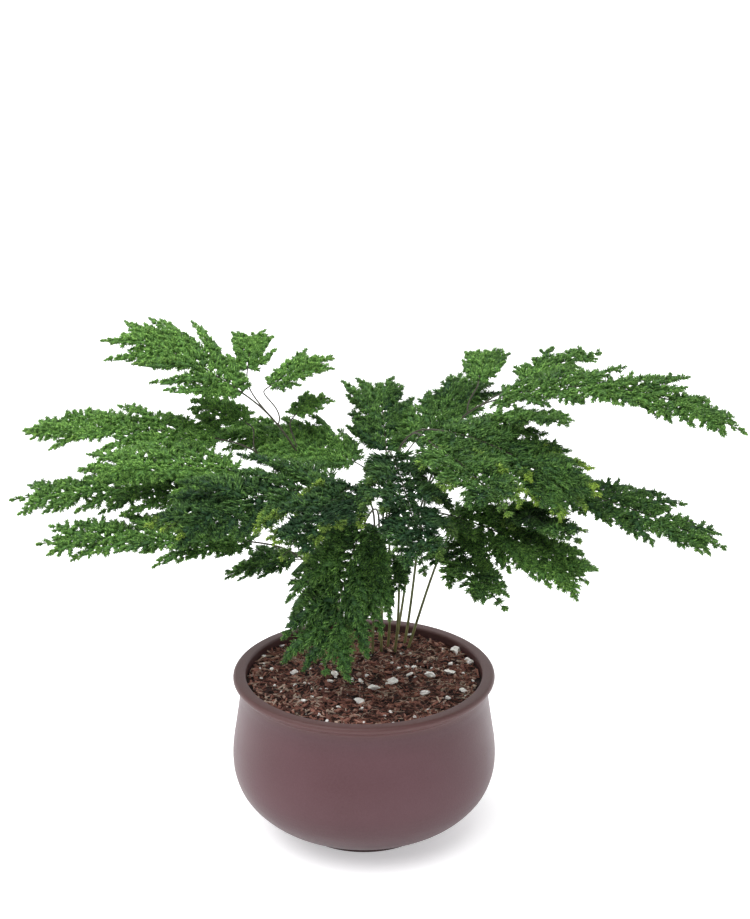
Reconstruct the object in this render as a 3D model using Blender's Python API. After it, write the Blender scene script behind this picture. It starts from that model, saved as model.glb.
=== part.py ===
"""Lace fern in a round clay pot.

A low, wide clay pot holds peaty soil, and thin wiry stems rise from plain holes in it. Each stem
arches over into flat, layered fronds. A frond is a midrib with plumes in pairs, and each plume
is a slim core whose faces are drawn out into pointed sprigs and needles. Every leafy stem is one
closed solid, grown face by face from its root, and its plumes are sized and tilted so that they
stay clear of everything grown before them.

The driving dimensions below are in millimetres and degrees, and MM turns them into metres. The
origin is the centre of the pot's foot, +Z is up, and the side shown at the front faces -Y.
"""

import math
import random
from dataclasses import dataclass

import bmesh
import bpy
import numpy as np
from mathutils import Vector, noise
from mathutils.bvhtree import BVHTree

MM = 0.001
UP = Vector((0.0, 0.0, 1.0))

# Pot
POT_SIDES = 36
POT_HEIGHT = 95.0
RIM_RADIUS = 75.0
LIP_WIDTH = 7.4
LIP_OUTER_ROUND = 1.7
LIP_INNER_ROUND = 1.4
NECK_RADIUS = 71.6
NECK_HEIGHT = 79.0
BELLY_RADIUS = 76.0
BELLY_HEIGHT = 43.0
FOOT_RADIUS = 41.0
FOOT_RING_WIDTH = 6.5
FOOT_RECESS = 3.0
WALL = 6.0
FLOOR = 8.0
DRAIN_RADIUS = 7.0

# Soil
SOIL_SIDES = 32
SOIL_RINGS = 6
SOIL_EDGE_HEIGHT = 90.0
SOIL_CROWN_HEIGHT = 91.6
SOIL_RELIEF = 1.1
SOIL_GAP = 0.35
BROAD_WAVES = 0.055
FINE_WAVES = 0.16
CRUMB_SHARE = 0.16
CRUMB_HEIGHT = 1.9
CRUMB_REACH = 0.92
CRUMB_KEEP_OFF = 7.0

# Stems and twigs, as half the width of their square sections
STEM_ROOT_DEPTH = 14.0
STEM_BASE_HALF = 1.0
STEM_TOP_HALF = 0.7
MIDRIB_END_HALF = 0.45
PLUME_ROOT_HALF = 0.55
PLUME_END_HALF = 0.35
STEM_STEPS = 4
STEM_SPACING = 3.9
HOLE_GAP = 0.45
HOLE_SIDES = 6

# Fronds
BUD_LENGTH = 2.0
PETIOLE_SHARE = 0.16
SPRIG_PITCH = 14.7
SPRIG_LENGTH = 11.5
SPRIG_SAG = 0.1
NEEDLE_LENGTH = 4.2
NEEDLE_LEAN = 0.6
CLEARANCE = 0.22
PLUME_SIZES = (1.0, 0.88, 0.76, 0.64, 0.52, 0.4, 0.28)
PLUME_TILTS = (0.0, 0.16, -0.16)
PLUME_RISE = 0.12
PLUME_SWEEP = 0.28

# The angle off the line that carries them, in degrees: at its root, and how much less at its tip
PLUME_SPREAD = (66.0, 22.0)
SPRIG_SPREAD = (58.0, 16.0)

# How far the plumes differ at random, in size, in turn and in rise
STRETCH_RANGE = (0.84, 1.1)
TURN_RANGE = (-6.0, 6.0)
LIFT_RANGE = (-0.06, 0.06)

# How a stalk is pulled: its outward lean at the soil, and its handles as shares of its reach
STALK_LEAN = 1.2
LOW_HANDLE = 0.4
HIGH_HANDLE = 0.3

# How finely the stems are compared while they are bent apart
BEND_ROUNDS = 90
STALK_SAMPLES = 14
MIDRIB_SAMPLES = 14


@dataclass(frozen=True)
class Frond:
    """One flat frond and the bare stalk that carries it.

    The leafy midrib runs from shoulder to tip and bows by arch above the straight line between
    them. half_width is the length of the longest plume, and pairs is how many pairs there are.
    fork is how far up the main stalk this one leaves it, and 0 means that this is the main
    stalk, standing in the soil. facing turns the frond's upper side towards the front, in
    degrees, and droop is how far the plumes hang at their ends.
    """

    shoulder: tuple
    tip: tuple
    arch: float
    half_width: float
    pairs: int
    fork: float = 0.0
    facing: float = 8.0
    droop: float = 0.16


# Each leafy stem: where it stands in the soil (x, y), and its fronds, the main one first
LEAFY_STEMS = {
    "stem_left_top": (
        (-7, 48),
        (
            Frond((-66, 50, 243), (-138, 72, 274), 8, 50, 7, facing=16),
            Frond((-68, 68, 252), (-66, 94, 268), 4, 24, 3, fork=0.86),
            Frond((-57, 56, 246), (-20, 74, 259), 5, 26, 3, fork=0.84),
            Frond((-42, 60, 227), (-25, 78, 235), 4, 16, 2, fork=0.7),
        ),
    ),
    "stem_left_high": (
        (-12, 42),
        (
            Frond((-78, 52, 216), (-196, 60, 220), 9, 42, 7, facing=18),
            Frond((-66, 30, 204), (-155, 0, 216), 8, 38, 5, fork=0.7, facing=18),
            Frond((-66, 62, 222), (-100, 80, 232), 5, 23, 3, fork=0.86),
        ),
    ),
    "stem_left_middle": (
        (-10, 36),
        (
            Frond((-60, 20, 194), (-200, 30, 188), 12, 48, 7, facing=16),
            Frond((-36, 28, 152), (-79, 40, 139), 5, 27, 3, fork=0.54),
        ),
    ),
    "stem_left_low": (
        (-5, 31),
        (Frond((-56, -8, 176), (-178, -14, 178), 9, 42, 7, facing=14),),
    ),
    "stem_front_left": (
        (0, 35),
        (
            Frond((-10, 0, 206), (-104, -56, 203), 12, 54, 6, facing=24),
            Frond((-3, -14, 213), (-40, -98, 204), 10, 36, 4, fork=0.88),
        ),
    ),
    "stem_front_drooping": (
        (5, 30),
        (Frond((2, -8, 191), (-21, -48, 118), 22, 60, 6),),
    ),
    "stem_front_centre": (
        (10, 34),
        (Frond((15, 10, 223), (31, -112, 201), 14, 41, 5),),
    ),
    "stem_front_right": (
        (18, 34),
        (
            Frond((43, -14, 196), (117, -60, 175), 9, 47, 6, facing=20),
            Frond((40, -28, 184), (72, -86, 171), 7, 27, 3, fork=0.74),
            Frond((20, 4, 166), (4, -30, 148), 5, 21, 3, fork=0.44),
        ),
    ),
    "stem_right_centre": (
        (14, 41),
        (
            Frond((38, 12, 236), (116, -48, 213), 17, 49, 6, facing=20),
            Frond((40, -14, 234), (72, -94, 226), 8, 36, 3, fork=0.88),
        ),
    ),
    "stem_right_middle": (
        (26, 38),
        (
            Frond((90, 10, 207), (193, -38, 185), 9, 38, 7, facing=18),
            Frond((79, -12, 197), (112, -66, 200), 6, 24, 3, fork=0.84),
        ),
    ),
    "stem_right_top": (
        (24, 46),
        (
            Frond((70, 40, 243), (204, -20, 245), 33, 40, 8, facing=16),
            Frond((65, 50, 250), (72, 78, 262), 5, 24, 3, fork=0.9),
            Frond((87, 54, 249), (137, 84, 260), 6, 26, 3, fork=0.97),
            Frond((76, 22, 241), (108, -24, 250), 4, 24, 3, fork=0.8),
        ),
    ),
    "stem_back_top": (
        (9, 50),
        (
            Frond((13, 54, 206), (9, 104, 234), 6, 41, 5),
            Frond((26, 50, 212), (68, 92, 240), 6, 36, 4, fork=0.86),
            Frond((-2, 50, 202), (-54, 62, 213), 8, 45, 5, fork=0.74, facing=18),
        ),
    ),
    "stem_back_left": (
        (1, 54),
        (Frond((-35, 74, 202), (-90, 100, 205), 9, 34, 4),),
    ),
    "stem_back_right": (
        (19, 52),
        (Frond((60, 76, 200), (122, 102, 188), 9, 34, 4),),
    ),
}


def clear_scene():
    """Removes the objects that the startup scene holds."""
    for item in list(bpy.data.objects):
        bpy.data.objects.remove(item)


def make_material(name, colour, roughness):
    """A matt Principled material."""
    material = bpy.data.materials.new(name)
    material.use_nodes = True
    shader = material.node_tree.nodes["Principled BSDF"]
    shader.inputs["Base Color"].default_value = (*colour, 1.0)
    shader.inputs["Roughness"].default_value = roughness
    shader.inputs["Metallic"].default_value = 0.0
    return material


def make_object(name, shape, material, smooth_angle=None):
    """Turns a bmesh into a named object, shaded smooth below smooth_angle where one is given."""
    mesh = bpy.data.meshes.new(name)
    shape.to_mesh(mesh)
    shape.free()
    if smooth_angle is not None:
        mesh.shade_smooth()
        mesh.set_sharp_from_angle(angle=smooth_angle)
    mesh.materials.append(material)
    item = bpy.data.objects.new(name, mesh)
    bpy.context.scene.collection.objects.link(item)
    return item


def arc(centre, radius, start, end, steps):
    """Points of an arc in a turned profile, with angles in degrees from the outward side."""
    angles = [math.radians(start + (end - start) * step / steps) for step in range(steps + 1)]
    return [
        (centre[0] + radius * math.cos(angle), centre[1] + radius * math.sin(angle))
        for angle in angles
    ]


def turned(profile, sides, closed):
    """Spins a profile of (radius, height) about the Z axis into a closed solid."""
    shape = bmesh.new()
    line = [shape.verts.new((radius * MM, 0.0, height * MM)) for radius, height in profile]
    ends = [*line[1:], line[0]] if closed else line[1:]
    edges = [shape.edges.new(pair) for pair in zip(line, ends)]
    bmesh.ops.spin(
        shape,
        geom=line + edges,
        axis=UP,
        cent=(0.0, 0.0, 0.0),
        angle=2 * math.pi,
        steps=sides,
        use_merge=True,
    )
    bmesh.ops.remove_doubles(shape, verts=shape.verts, dist=1e-6)
    bmesh.ops.recalc_face_normals(shape, faces=shape.faces)
    return shape


def outer_wall():
    """The pot's outside from the foot up to the start of its lip."""
    return [
        (FOOT_RADIUS, FOOT_RECESS + 0.5),
        (FOOT_RADIUS + 11.0, FOOT_RECESS + 5.2),
        (FOOT_RADIUS + 21.5, FOOT_RECESS + 12.0),
        (BELLY_RADIUS - 5.4, BELLY_HEIGHT - 19.0),
        (BELLY_RADIUS - 1.3, BELLY_HEIGHT - 9.5),
        (BELLY_RADIUS, BELLY_HEIGHT),
        (BELLY_RADIUS - 0.5, BELLY_HEIGHT + 10.0),
        (BELLY_RADIUS - 2.2, BELLY_HEIGHT + 21.0),
        (NECK_RADIUS, NECK_HEIGHT),
        (NECK_RADIUS + 0.5, NECK_HEIGHT + 6.5),
        (RIM_RADIUS - 1.4, POT_HEIGHT - 5.2),
    ]


def inner_wall(inset):
    """The pot's inside from its floor to its neck, moved inwards by inset."""
    wall = WALL + inset
    return [
        (FOOT_RADIUS - 2.0, FLOOR + inset),
        (FOOT_RADIUS + 16.0, FLOOR + inset + 8.5),
        (BELLY_RADIUS - wall - 2.0, BELLY_HEIGHT - 10.0),
        (BELLY_RADIUS - wall, BELLY_HEIGHT + 4.0),
        (NECK_RADIUS - wall + 0.6, NECK_HEIGHT),
        (RIM_RADIUS - LIP_WIDTH - inset, SOIL_EDGE_HEIGHT),
    ]


def make_pot(clay):
    """The clay pot, with a rolled lip, a recessed foot and one drain hole."""
    lip_middle = (RIM_RADIUS - LIP_OUTER_ROUND, POT_HEIGHT - LIP_OUTER_ROUND)
    lip = arc(lip_middle, LIP_OUTER_ROUND, -40, 90, 3)
    inside_middle = (RIM_RADIUS - LIP_WIDTH + LIP_INNER_ROUND, POT_HEIGHT - LIP_INNER_ROUND)
    lip_inside = arc(inside_middle, LIP_INNER_ROUND, 90, 180, 2)
    profile = [
        (DRAIN_RADIUS, FOOT_RECESS),
        (FOOT_RADIUS - FOOT_RING_WIDTH, FOOT_RECESS),
        (FOOT_RADIUS - FOOT_RING_WIDTH, 0.0),
        (FOOT_RADIUS - 0.6, 0.0),
        *outer_wall(),
        *lip,
        *lip_inside,
        *reversed(inner_wall(0.0)),
        (DRAIN_RADIUS, FLOOR),
    ]
    return make_object("pot", turned(profile, POT_SIDES, True), clay, math.radians(35))


def soil_height(x, y):
    """Height of the soil's uneven top over a point given in millimetres."""
    reach = math.hypot(x, y) / (RIM_RADIUS - LIP_WIDTH)
    level = SOIL_CROWN_HEIGHT + (SOIL_EDGE_HEIGHT - SOIL_CROWN_HEIGHT) * reach**2
    broad = noise.noise(Vector((x, y, 0.0)) * BROAD_WAVES)
    fine = noise.noise(Vector((x, y, 9.0)) * FINE_WAVES)
    return level + SOIL_RELIEF * (broad + 0.6 * fine) * max(0.0, 1.0 - reach**8)


def cut_stem_holes(soil):
    """Cuts a plain hole in the soil for each stem."""
    holes = bpy.data.collections.new("stem_holes")
    bpy.context.scene.collection.children.link(holes)
    radius = (STEM_BASE_HALF * math.sqrt(2) + HOLE_GAP) / math.cos(math.pi / HOLE_SIDES)
    for name, (foot, _) in LEAFY_STEMS.items():
        shape = bmesh.new()
        bmesh.ops.create_cone(
            shape,
            cap_ends=True,
            segments=HOLE_SIDES,
            radius1=radius * MM,
            radius2=radius * MM,
            depth=2 * (STEM_ROOT_DEPTH + HOLE_GAP) * MM,
        )
        cutter = make_object(name + "_hole", shape, soil.data.materials[0])
        cutter.location = (foot[0] * MM, foot[1] * MM, soil_height(*foot) * MM)
        cutter.hide_render = True
        cutter.display_type = "WIRE"
        bpy.context.scene.collection.objects.unlink(cutter)
        holes.objects.link(cutter)
    cut = soil.modifiers.new("stem_holes", "BOOLEAN")
    cut.operation = "DIFFERENCE"
    cut.operand_type = "COLLECTION"
    cut.collection = holes
    cut.solver = "EXACT"


def raise_crumbs(shape, edge_radius):
    """Draws scattered faces of the soil's top up into crumbs, away from the stems."""
    draw = random.Random("crumbs")
    feet = [Vector(foot) * MM for foot, _ in LEAFY_STEMS.values()]
    chosen = []
    for face in shape.faces:
        middle = face.calc_center_median()
        on_top = face.normal.z > 0.8 and len(face.verts) == 4
        inside = middle.xy.length < edge_radius * CRUMB_REACH * MM
        clear = all((middle.xy - foot).length > CRUMB_KEEP_OFF * MM for foot in feet)
        if on_top and inside and clear and draw.random() < CRUMB_SHARE:
            chosen.append(face)
    for face in chosen:
        peak = bmesh.ops.poke(shape, faces=[face])["verts"][0]
        peak.co.z += CRUMB_HEIGHT * MM * draw.uniform(0.5, 1.0)


def make_soil(peat):
    """The soil that fills the pot, with an uneven top and crumbs raised from it."""
    side = inner_wall(SOIL_GAP)
    edge_radius, edge_height = side[-1]
    rings = [
        (edge_radius * (1 - step / SOIL_RINGS), edge_height) for step in range(1, SOIL_RINGS + 1)
    ]
    shape = turned([(0.0, side[0][1]), *side, *rings], SOIL_SIDES, False)
    for vert in shape.verts:
        if vert.co.z > (edge_height - 0.1) * MM and vert.co.xy.length < edge_radius * 0.99 * MM:
            vert.co.z = soil_height(vert.co.x / MM, vert.co.y / MM) * MM
    shape.normal_update()
    raise_crumbs(shape, edge_radius)
    soil = make_object("soil", shape, peat)
    cut_stem_holes(soil)
    return soil


@dataclass
class Section:
    """A square section of a twig: its middle, heading, upper side and half width."""

    middle: Vector
    heading: Vector
    upward: Vector
    half: float

    def across(self):
        """The direction to the twig's left, seen from above along its heading."""
        return self.upward.cross(self.heading).normalized()

    def corners(self, margin=0.0):
        """Its corners in metres, in order round the section, with the upper two first."""
        half = (self.half + margin) * MM
        return [
            self.middle * MM + (self.across() * side + self.upward * lift) * half
            for side, lift in ((1, 1), (-1, 1), (-1, -1), (1, -1))
        ]


def pulled(points, share):
    """A point of the smooth curve that the points pull, and the curve's direction there."""
    while len(points) > 2:
        points = [a.lerp(b, share) for a, b in zip(points, points[1:])]
    return points[0].lerp(points[1], share), (points[1] - points[0]).normalized()


class Route:
    """The line of a frond from where its stalk begins, over the shoulder, to its tip."""

    def __init__(self, frond, start, leaving):
        self.frond = frond
        shoulder = Vector(frond.shoulder)
        tip = Vector(frond.tip)
        bow = (shoulder + tip) / 2 + UP * frond.arch
        reach = (shoulder - start).length
        low = start + leaving * reach * LOW_HANDLE
        high = shoulder - (bow - shoulder).normalized() * reach * HIGH_HANDLE
        self.points = [start, low, high, shoulder, bow, tip]
        self.side = (tip - shoulder).cross(UP).normalized()
        self.roll = math.radians(frond.facing) * -self.side.y

    def stalk(self, share):
        """A point of the bare stalk and its direction."""
        return pulled(self.points[:4], share)

    def midrib(self, share):
        """A point of the leafy midrib and its direction."""
        return pulled(self.points[3:], share)

    def stalk_length(self):
        """About how long the bare stalk is."""
        return (self.points[3] - self.points[0]).length

    def midrib_length(self):
        """About how long the leafy midrib is."""
        return (self.points[5] - self.points[3]).length

    def section(self, place, half):
        """The twig's square section at a point and direction of this route."""
        middle, heading = place
        upward = self.side.cross(heading).normalized()
        turned_side = heading.cross(upward)
        upward = upward * math.cos(self.roll) + turned_side * math.sin(self.roll)
        return Section(middle, heading, upward, half)

    def samples(self):
        """Points along the stalk and then the midrib."""
        stalk = [self.stalk(step / STALK_SAMPLES)[0] for step in range(STALK_SAMPLES)]
        midrib = [self.midrib(step / MIDRIB_SAMPLES)[0] for step in range(MIDRIB_SAMPLES)]
        return np.array([*stalk, *midrib])

    def push(self, sample, move):
        """Moves the points that pull a sample, so that it gives way by about move."""
        share = sample / STALK_SAMPLES
        pulls = {1: 3 * share * (1 - share) ** 2, 2: 3 * share**2 * (1 - share)}
        if sample >= STALK_SAMPLES:
            share = (sample - STALK_SAMPLES) / MIDRIB_SAMPLES
            pulls = {4: 2 * share * (1 - share)}
        total = max(0.2, sum(pull * pull for pull in pulls.values()))
        for index, pull in pulls.items():
            self.points[index] = self.points[index] + move * (pull / total)


def bend_apart(moving, fixed):
    """Bends the moving routes until they pass each other and the fixed ones with room."""
    for _ in range(BEND_ROUNDS):
        lines = [route.samples() for route in moving + fixed]
        for first, route in enumerate(moving):
            for second in range(first + 1, len(lines)):
                offsets = lines[first][:, None] - lines[second][None]
                distances = np.linalg.norm(offsets, axis=2)
                here, there = np.unravel_index(distances.argmin(), distances.shape)
                short = STEM_SPACING - distances[here, there]
                if short > 0:
                    move = Vector(offsets[here, there]).normalized() * short * 0.5
                    route.push(here, move)
                    if second < len(moving):
                        moving[second].push(there, -move)


def start_twig(shape, section, margin=0.0):
    """A first face that a twig can grow from."""
    return shape.faces.new([shape.verts.new(corner) for corner in section.corners(margin)])


def grow(shape, face, section, margin=0.0):
    """Draws a face out to the next section.

    Returns the new end face and the four faces between, in the order top, right, bottom, left
    of the twig seen along its heading.
    """
    end = bmesh.ops.extrude_discrete_faces(shape, faces=[face])["faces"][0]
    corners = section.corners(margin)
    verts = list(end.verts)
    turns = [verts[turn:] + verts[:turn] for turn in range(4)]
    ring = min(turns, key=lambda turn: sum((v.co - c).length for v, c in zip(turn, corners)))
    for vert, corner in zip(ring, corners):
        vert.co = corner
    sides = []
    for first, second in zip(ring, ring[1:] + ring[:1]):
        edge = shape.edges.get((first, second))
        sides.append(next(side for side in edge.link_faces if side is not end))
    return end, sides


def grow_run(shape, face, sections, margin=0.0):
    """Draws a face out through sections. Returns the end face and each stretch's four sides."""
    stretches = []
    for section in sections:
        face, sides = grow(shape, face, section, margin)
        stretches.append(sides)
    return face, stretches


def spread_at(spread, share):
    """The angle off a line at a share of its length, in radians."""
    return math.radians(spread[0] - spread[1] * share)


def draw_out(shape, face, tip):
    """Draws a face out to a point, as a sprig or a needle."""
    bmesh.ops.poke(shape, faces=[face])["verts"][0].co = tip * MM


def draw_out_sprigs(shape, sides, before, after, length, spread):
    """Draws the right and left faces of a stretch out into sprigs that sweep forward."""
    middle = (before.middle + after.middle) / 2
    forward = after.heading * math.cos(spread) - after.upward * SPRIG_SAG
    for face, side in ((sides[1], -1), (sides[3], 1)):
        draw_out(shape, face, middle + (after.across() * side * math.sin(spread) + forward) * length)


@dataclass
class Plume:
    """One plume of a frond: its sections from root to tip, and how long its sprigs are."""

    sections: list
    sprig: float

    def build(self, shape, face, margin=0.0):
        """Grows the plume from a face."""
        face, stretches = grow_run(shape, face, self.sections, margin)
        count = len(stretches)
        for index in range(1, count):
            before, after, sides = self.sections[index - 1], self.sections[index], stretches[index]
            share = index / count
            length = self.sprig * (1.0 - 0.5 * share**1.5) + margin
            draw_out_sprigs(shape, sides, before, after, length, spread_at(SPRIG_SPREAD, share))
            above = index % 2
            lift = after.upward if above else -after.upward
            lean = after.heading * NEEDLE_LENGTH * NEEDLE_LEAN
            needle = (before.middle + after.middle) / 2 + lift * (NEEDLE_LENGTH + margin) + lean
            draw_out(shape, sides[0] if above else sides[2], needle)
        last = self.sections[-1]
        draw_out(shape, face, last.middle + last.heading * (self.sprig * 0.5 + margin))

    def trial(self):
        """A slightly fatter copy as a search tree, to test what the plume would meet."""
        shape = bmesh.new()
        self.build(shape, start_twig(shape, self.sections[0], CLEARANCE), CLEARANCE)
        tree = BVHTree.FromBMesh(shape)
        shape.free()
        return tree


@dataclass(frozen=True)
class Bud:
    """Where a plume leaves a midrib, with its small differences from an even frond."""

    pair: int
    side: int
    share: float
    stretch: float
    turn: float
    lift: float


def envelope(share):
    """How long the plumes are along a midrib, as a share of the longest."""
    return min(1.0, 0.55 + 1.5 * share) * (1.0 - 0.9 * share) ** 0.6


def pair_shares(frond):
    """Where along the midrib each pair of plumes leaves it."""
    return [(pair + 0.4) / (frond.pairs + 0.9) for pair in range(frond.pairs)]


def make_buds(seed, frond):
    """The buds of a frond, in pairs from its shoulder to its tip."""
    draw = random.Random(seed)
    ranges = (STRETCH_RANGE, TURN_RANGE, LIFT_RANGE)
    return [
        Bud(pair, side, share, *[draw.uniform(*limits) for limits in ranges])
        for pair, share in enumerate(pair_shares(frond))
        for side in (1, -1)
    ]


def plan_plume(route, bud, size, tilt):
    """The plume that a bud would grow at a share of its full size, tilted up by tilt."""
    frond = route.frond
    root = route.section(route.midrib(bud.share), PLUME_ROOT_HALF)
    length = frond.half_width * envelope(bud.share) * bud.stretch * size
    spread = spread_at(PLUME_SPREAD, bud.share) + math.radians(bud.turn)
    gap = route.midrib_length() / (frond.pairs + 0.9) * math.sin(spread)
    count = max(2, round(length / SPRIG_PITCH))
    rise = PLUME_RISE + bud.lift + tilt
    sections = []
    for index in range(count + 1):
        reach = PETIOLE_SHARE + (1 - PETIOLE_SHARE) * index / count
        turn = spread * (1 - PLUME_SWEEP * reach)
        ahead = root.across() * bud.side * math.sin(turn) + root.heading * math.cos(turn)
        lift = root.upward * (rise * reach - frond.droop * reach**2)
        slope = (ahead + root.upward * (rise - 2 * frond.droop * reach)).normalized()
        upward = (root.upward - slope * root.upward.dot(slope)).normalized()
        half = PLUME_ROOT_HALF + (PLUME_END_HALF - PLUME_ROOT_HALF) * index / count
        sections.append(Section(root.middle + (ahead * reach + lift) * length, slope, upward, half))
    return Plume(sections, min(SPRIG_LENGTH, gap * 0.62, length * 0.4 + 2.0))


def side_facing(sides, route):
    """The one of a stretch's four sides that faces the way a route leaves."""
    away = (route.points[1] - route.points[0]).normalized()
    for side in sides:
        side.normal_update()
    return max(sides, key=lambda side: side.normal.dot(away))


class LeafyStem:
    """A stem standing in the soil, with the fronds that it carries."""

    def __init__(self, name, foot, fronds):
        self.name = name
        self.fronds = fronds
        self.root = Vector((*foot, soil_height(*foot)))
        outward = (Vector(fronds[0].shoulder) - self.root).normalized()
        self.routes = [Route(fronds[0], self.root, (UP + outward * STALK_LEAN).normalized())]
        self.plumes = {}

    def fork(self):
        """Sets out the stalks that leave the main one, once that one is in its place."""
        for frond in self.fronds[1:]:
            start, heading = self.routes[0].stalk(frond.fork)
            outward = (Vector(frond.shoulder) - start).normalized()
            self.routes.append(Route(frond, start, (heading + outward).normalized()))

    def stalk_sections(self, index):
        """The sections of a frond's bare stalk, with a short stretch for each fork on it."""
        route = self.routes[index]
        forks = [frond.fork for frond in self.fronds[1:]] if index == 0 else []
        bud = BUD_LENGTH / route.stalk_length()
        shares = [step / STEM_STEPS for step in range(STEM_STEPS + 1)]
        shares += [edge for fork in forks for edge in (fork, fork + bud)]
        base = STEM_BASE_HALF if index == 0 else STEM_TOP_HALF
        return [
            route.section(route.stalk(share), base + (STEM_TOP_HALF - base) * share)
            for share in sorted(shares)
        ]

    def midrib_sections(self, index):
        """The sections of a midrib, with a short stretch for each pair of plumes."""
        route = self.routes[index]
        bud = BUD_LENGTH / route.midrib_length()
        starts = pair_shares(self.fronds[index])
        shares = [edge for start in starts for edge in (start, start + bud)]
        shares.append((shares[-1] + 1.0) / 2)
        taper = MIDRIB_END_HALF - STEM_TOP_HALF
        return [route.section(route.midrib(share), STEM_TOP_HALF + taper * share) for share in shares]

    def tube(self, index):
        """A search tree round the whole line of a frond."""
        sections = self.stalk_sections(index)[1 if index else 0 :] + self.midrib_sections(index)
        shape = bmesh.new()
        grow_run(shape, start_twig(shape, sections[0], CLEARANCE), sections[1:], CLEARANCE)
        tree = BVHTree.FromBMesh(shape)
        shape.free()
        return tree

    def build(self):
        """Grows the whole leafy stem as one closed solid."""
        shape = bmesh.new()
        sections = self.stalk_sections(0)
        buried = Section(self.root - UP * STEM_ROOT_DEPTH, UP, sections[0].upward, STEM_BASE_HALF)
        buried.upward = (buried.upward - UP * buried.upward.z).normalized()
        bottom = start_twig(shape, buried)
        bottom_ring = list(bottom.verts)
        face, stretches = grow_run(shape, bottom, sections)
        bases = {}
        for index, frond in enumerate(self.fronds[1:], start=1):
            place = sum(1 for section in sections if section.middle.z <= self.fork_height(frond))
            bases[index] = side_facing(stretches[place], self.routes[index])
        self.grow_frond(shape, face, 0)
        for index, base in bases.items():
            face, _ = grow_run(shape, base, self.stalk_sections(index)[1:])
            self.grow_frond(shape, face, index)
        shape.faces.new(list(reversed(bottom_ring)))
        bmesh.ops.recalc_face_normals(shape, faces=shape.faces)
        return shape

    def fork_height(self, frond):
        """The height at which a frond's stalk leaves the main one."""
        return self.routes[0].stalk(frond.fork)[0].z + 1e-3

    def grow_frond(self, shape, face, index):
        """Grows a frond from the end of its stalk."""
        frond, route = self.fronds[index], self.routes[index]
        face, stretches = grow_run(shape, face, self.midrib_sections(index))
        draw_out(shape, face, route.points[5])
        for pair in range(frond.pairs):
            _, right, _, left = stretches[2 * pair + 1]
            for side, base in ((1, left), (-1, right)):
                if (index, pair, side) in self.plumes:
                    self.plumes[index, pair, side].build(shape, base)


def settle_plumes(stems):
    """Gives each plume the largest size at which it stays clear of all that grew before it."""
    tubes = {
        (stem.name, index): stem.tube(index)
        for stem in stems
        for index in range(len(stem.fronds))
    }
    grown = []
    for stem in stems:
        for index, frond in enumerate(stem.fronds):
            others = [tree for key, tree in tubes.items() if key != (stem.name, index)]
            for bud in make_buds(f"{stem.name} {index}", frond):
                settle_plume(stem, index, bud, others, grown)


def settle_plume(stem, index, bud, tubes, grown):
    """Tries one plume at falling sizes, level, raised and lowered, and keeps the first clear one."""
    for size in PLUME_SIZES:
        for tilt in PLUME_TILTS:
            plume = plan_plume(stem.routes[index], bud, size, tilt)
            tree = plume.trial()
            if not any(tree.overlap(other) for other in tubes + grown):
                stem.plumes[index, bud.pair, bud.side] = plume
                grown.append(tree)
                return


def main():
    """Builds the pot, the soil and every leafy stem."""
    clear_scene()
    clay = make_material("purple_brown_clay", (0.16, 0.075, 0.065), 0.62)
    peat = make_material("peat_and_coir", (0.085, 0.035, 0.022), 0.95)
    leaf = make_material("fern_green", (0.055, 0.2, 0.035), 0.6)
    make_pot(clay)
    make_soil(peat)
    stems = [LeafyStem(name, foot, fronds) for name, (foot, fronds) in LEAFY_STEMS.items()]
    mains = [stem.routes[0] for stem in stems]
    bend_apart(mains, [])
    for stem in stems:
        stem.fork()
    bend_apart([route for stem in stems for route in stem.routes[1:]], mains)
    settle_plumes(stems)
    for stem in stems:
        make_object(stem.name, stem.build(), leaf)


main()
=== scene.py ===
"""Lace fern in a round clay pot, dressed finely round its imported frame.

The clay pot, the soil and every leafy stem of the frame are replaced by finer pieces of the same
form. A frond's stalk and midrib follow the line that the frame's stem takes, its plumes leave the
midrib by the same rule, and sprigs of fine needles clothe each plume. Sizes are given in
millimetres and degrees, and MM turns them into metres.
"""

from __future__ import annotations

import logging
import math
import random
from dataclasses import dataclass
from enum import Enum

import bmesh
import bpy
from mathutils import Matrix, Vector, noise
from mathutils.bvhtree import BVHTree

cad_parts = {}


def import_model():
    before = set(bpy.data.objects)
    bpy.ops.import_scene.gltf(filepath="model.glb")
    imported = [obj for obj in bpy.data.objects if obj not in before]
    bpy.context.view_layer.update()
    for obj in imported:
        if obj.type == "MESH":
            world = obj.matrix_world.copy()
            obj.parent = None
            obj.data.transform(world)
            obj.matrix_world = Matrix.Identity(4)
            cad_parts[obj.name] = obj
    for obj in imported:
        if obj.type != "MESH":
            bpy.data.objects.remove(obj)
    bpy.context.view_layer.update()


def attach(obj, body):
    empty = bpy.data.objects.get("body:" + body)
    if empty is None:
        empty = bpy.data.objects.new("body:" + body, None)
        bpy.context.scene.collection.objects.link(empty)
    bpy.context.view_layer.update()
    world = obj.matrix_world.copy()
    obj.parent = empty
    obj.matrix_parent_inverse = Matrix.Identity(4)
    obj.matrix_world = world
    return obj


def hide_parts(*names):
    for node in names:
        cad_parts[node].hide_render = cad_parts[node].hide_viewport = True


MM = 0.001
UP = Vector((0.0, 0.0, 1.0))
LOG = logging.getLogger("lace_fern")
GOLDEN_TURN = math.radians(137.5)  # between one needle and the next round a sprig

Pair = tuple[float, float]
Point = tuple[float, float, float]
Colour = tuple[float, float, float]
Shape = bmesh.types.BMesh
Material = bpy.types.Material
Socket = bpy.types.NodeSocket


class GrowthAndShade(Enum):
    """How far a frond's green lies between an old, shaded one and one in full light: its age and painted light."""

    SUNLIT = 0.92
    BRIGHT = 0.72
    MIDDLE = 0.5
    DARK = 0.3
    SHADED = 0.14


class Habit(Enum):
    """How a frond grows, with the least and most length of the plumes between its main ones."""

    OPEN = (0.45, 0.8)
    DENSE = (0.62, 0.95)


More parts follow.
